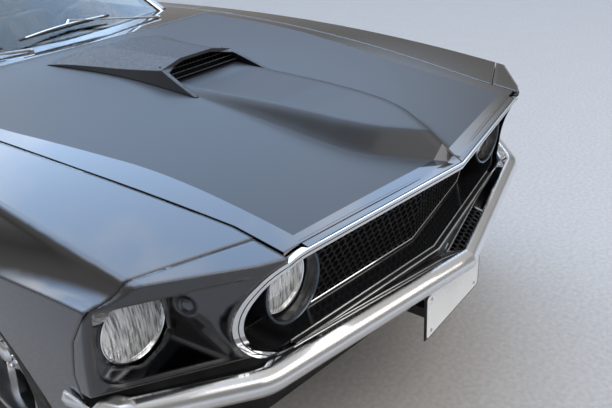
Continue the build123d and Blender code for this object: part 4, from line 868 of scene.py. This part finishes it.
# ---- Wheels and tyres ------------------------------------------------------
# Five-spoke wheels in grey-painted steel with a chromed trim ring, cap and
# nuts, on broad tyres with blocks cut in the tread.
rim_alloy = finish("rim_alloy", (0.55, 0.56, 0.58), 0.2, metallic=1.0, grain=220, spread=0.08,
                   bump=0.03)
tyre_rubber = finish("tyre_rubber", (0.040, 0.037, 0.035), 0.75, grain=500, spread=0.3, bump=0.25)
# Half of the tyre's section, as (distance from its middle plane, radius)
wall_profile = [(0.081, 0.1905), (0.081, 0.2040), (0.088, 0.2085), (0.102, 0.2235),
                (0.1065, 0.238), (0.1075, 0.2405), (0.1092, 0.2420), (0.1098, 0.262),
                (0.1099, 0.280), (0.1080, 0.296), (0.1085, 0.2985), (0.1040, 0.309),
                (0.0985, 0.3175), (0.0935, 0.3235), (0.0880, 0.3285)]
inner_profile = [(-0.067, 0.1905), (-0.085, 0.262), (-0.078, 0.314),
                 (0.078, 0.314), (0.085, 0.262), (0.067, 0.1905)]
tread_edges = (0.0860, 0.0600, 0.0560, 0.0250, 0.0210, -0.0210, -0.0250, -0.0560, -0.0600, -0.0860)
tread_radius, crown_drop, groove_depth, sipe_depth, around = 0.3298, 0.15, 0.0075, 0.0055, 256


def tyre(place, centre, side, body):
    """A tyre skinned round its section, with grooves round it and slots across the blocks."""
    shape, rings = Shape(), []
    for step, (c, s) in enumerate(circle(around)):
        section = list(wall_profile)
        for row, (start, end) in enumerate(zip(tread_edges[:-1], tread_edges[1:])):
            if row % 2 == 0:
                cut = sipe_depth if (step + row * 3 // 2) % 6 == 0 else 0
                for part in range(4):
                    x = start + (end - start) * part / 3
                    section.append((x, tread_radius - crown_drop * x * x - cut))
            else:
                section += [(start - 0.0004, tread_radius - groove_depth),
                            (end + 0.0004, tread_radius - groove_depth)]
        section += [(-x, radius) for x, radius in reversed(wall_profile)] + inner_profile
        rings.append([(centre[0] + side * x, centre[1] + radius * s, centre[2] + radius * c)
                      for x, radius in section])
    shape.rings(rings, loop=True)
    shape.piece(f"tyre_{place}_tread", tyre_rubber, body, slot="tyre", replaces=(f"tyre_{place}",))


hub_x, hub_z, face_x, ring_x, nut_circle = 0.743, 0.330, 0.7925, 0.8275, 0.050
cap_profile = [(-0.006, 0.036), (0.010, 0.034), (0.018, 0.026), (0.020, 0.022), (0.021, 0.0)]
nut_profile = [(-0.008, 0.0095), (0.008, 0.0095), (0.013, 0.006), (0.014, 0.0)]
ring_profile = [(0.0, 0.1965), (0.003, 0.2005), (0.006, 0.2035), (0.0062, 0.2060), (0.002, 0.2075),
                (-0.003, 0.2060)]
for corner, y in (("front", -1.435), ("rear", 1.308)):
    for word, side in (("left", 1), ("right", -1)):
        place, out = f"{corner}_{word}", (side, 0, 0)
        body = f"wheel_{place}"
        dress(rim_alloy, body)
        tyre(place, (side * hub_x, y, hub_z), side, body)
        trim = Shape()
        trim.turned(cap_profile, (side * face_x, y, hub_z), out, sides=40)
        for turn in (math.radians(72 * i + 36) for i in range(5)):
            trim.turned(nut_profile, (side * (face_x - 0.001), y + nut_circle * math.sin(turn),
                                      hub_z + nut_circle * math.cos(turn)), out, sides=6)
        trim.turned(ring_profile, (side * ring_x, y, hub_z), out, sides=72)
        trim.faces = [f for f in trim.faces if len(f) < 70]
        trim.piece(f"wheel_trim_{place}", chrome, body, slot="chrome")


# ---- Stage -----------------------------------------------------------------
# A plain pale floor under the tyres.
bpy.ops.mesh.primitive_plane_add(size=60)
floor = bpy.context.object
floor.name = "floor"
floor_pale = finish("floor_pale", (0.475, 0.465, 0.46), 0.9, grain=60, spread=0.10, specular=0.2)
floor.data.materials.append(floor_pale)


# ---- Light -----------------------------------------------------------------
# A soft dome that is brightest high over the car's tail and dim near the
# horizon, with light cloud in it, and one softbox ahead of the nose.
world = bpy.data.worlds.new("studio")
scene.world = world
world.use_nodes = True
web = world.node_tree
dome = web.nodes["Background"]


def eased(value, low, high):
    """Rises smoothly from 0 to 1 as a value goes from low to high."""
    links = [("Value", value), ("From Min", low), ("From Max", high)]
    node = add_node(web, "ShaderNodeMapRange", links, interpolation_type="SMOOTHSTEP")
    return node.outputs["Result"]


way = add_node(web, "ShaderNodeTexCoord").outputs["Generated"]
height = add_node(web, "ShaderNodeSeparateXYZ", [(0, way)]).outputs["Z"]
bright_way = tuple(Vector((0.36, 0.58, 0.73)).normalized())
toward = add_node(web, "ShaderNodeVectorMath", [(0, way), (1, bright_way)], operation="DOT_PRODUCT")
lobe = add_node(web, "ShaderNodeMath", [(0, eased(toward.outputs["Value"], 0.69, 0.88)),
                                     (1, eased(height, 0.26, 0.50))], operation="MULTIPLY")
cloud = add_node(web, "ShaderNodeTexNoise", [("Vector", way), ("Scale", 2.6), ("Detail", 5.0)])
blue_sky, white_cloud = (1.75, 2.40, 3.40, 1), (3.10, 3.30, 3.55, 1)
sky = add_node(web, "ShaderNodeMix", [(0, eased(cloud.outputs["Fac"], 0.42, 0.62)), (6, blue_sky),
                                   (7, white_cloud)], data_type="RGBA")
ramp = add_node(web, "ShaderNodeValToRGB", [("Fac", height)])
# Colours of the rest of the dome, by height
bands = ((0.0, (0.46, 0.45, 0.44)), (0.12, (0.30, 0.29, 0.285)), (0.26, (0.22, 0.215, 0.21)),
         (0.5, (0.44, 0.43, 0.42)), (1.0, (0.56, 0.54, 0.52)))
while len(ramp.color_ramp.elements) < len(bands):
    ramp.color_ramp.elements.new(0.5)
for element, (at, colour) in zip(ramp.color_ramp.elements, bands):
    element.position = at
    element.color = (*colour, 1)
whole = add_node(web, "ShaderNodeMix", [(0, lobe.outputs[0]), (6, ramp.outputs["Color"]),
                                     (7, sky.outputs[2])], data_type="RGBA")
web.links.new(whole.outputs[2], dome.inputs["Color"])

lamp_data = bpy.data.lights.new("softbox", "AREA")
lamp_data.energy = 290
lamp_data.size = 7.0
lamp_data.color = (1.0, 0.96, 0.91)
lamp = bpy.data.objects.new("softbox", lamp_data)
lamp.location = (0.5, -6.6, 5.6)
lamp_target = Vector((0, -1.9, 0.5))
lamp.rotation_mode = "QUATERNION"
lamp.rotation_quaternion = (lamp_target - lamp.location).to_track_quat("-Z", "Y")
scene.collection.objects.link(lamp)


# ---- Camera ----------------------------------------------------------------
# Stands at the car's right front corner and looks down over the nose.
view_azimuth, view_elevation, view_roll = (math.radians(a) for a in (-49.7, 27.2, -4.5))
view_target, view_distance = Vector((-0.277, -2.0694, 0.700)), 1.449
photo_width, focal_pixels = 612, 617
back = Vector((math.sin(view_azimuth) * math.cos(view_elevation),
               -math.cos(view_azimuth) * math.cos(view_elevation),
               math.sin(view_elevation)))
camera_data = bpy.data.cameras.new("camera")
camera_data.sensor_width = 36
camera_data.lens = focal_pixels / photo_width * camera_data.sensor_width
camera_data.clip_start = 0.05
camera = bpy.data.objects.new("camera", camera_data)
camera.location = view_target + back * view_distance
camera.rotation_mode = "QUATERNION"
camera.rotation_quaternion = (-back).to_track_quat("-Z", "Y") @ Quaternion((0, 0, 1), view_roll)
scene.collection.objects.link(camera)
scene.camera = camera
scene.view_settings.view_transform = "Standard"
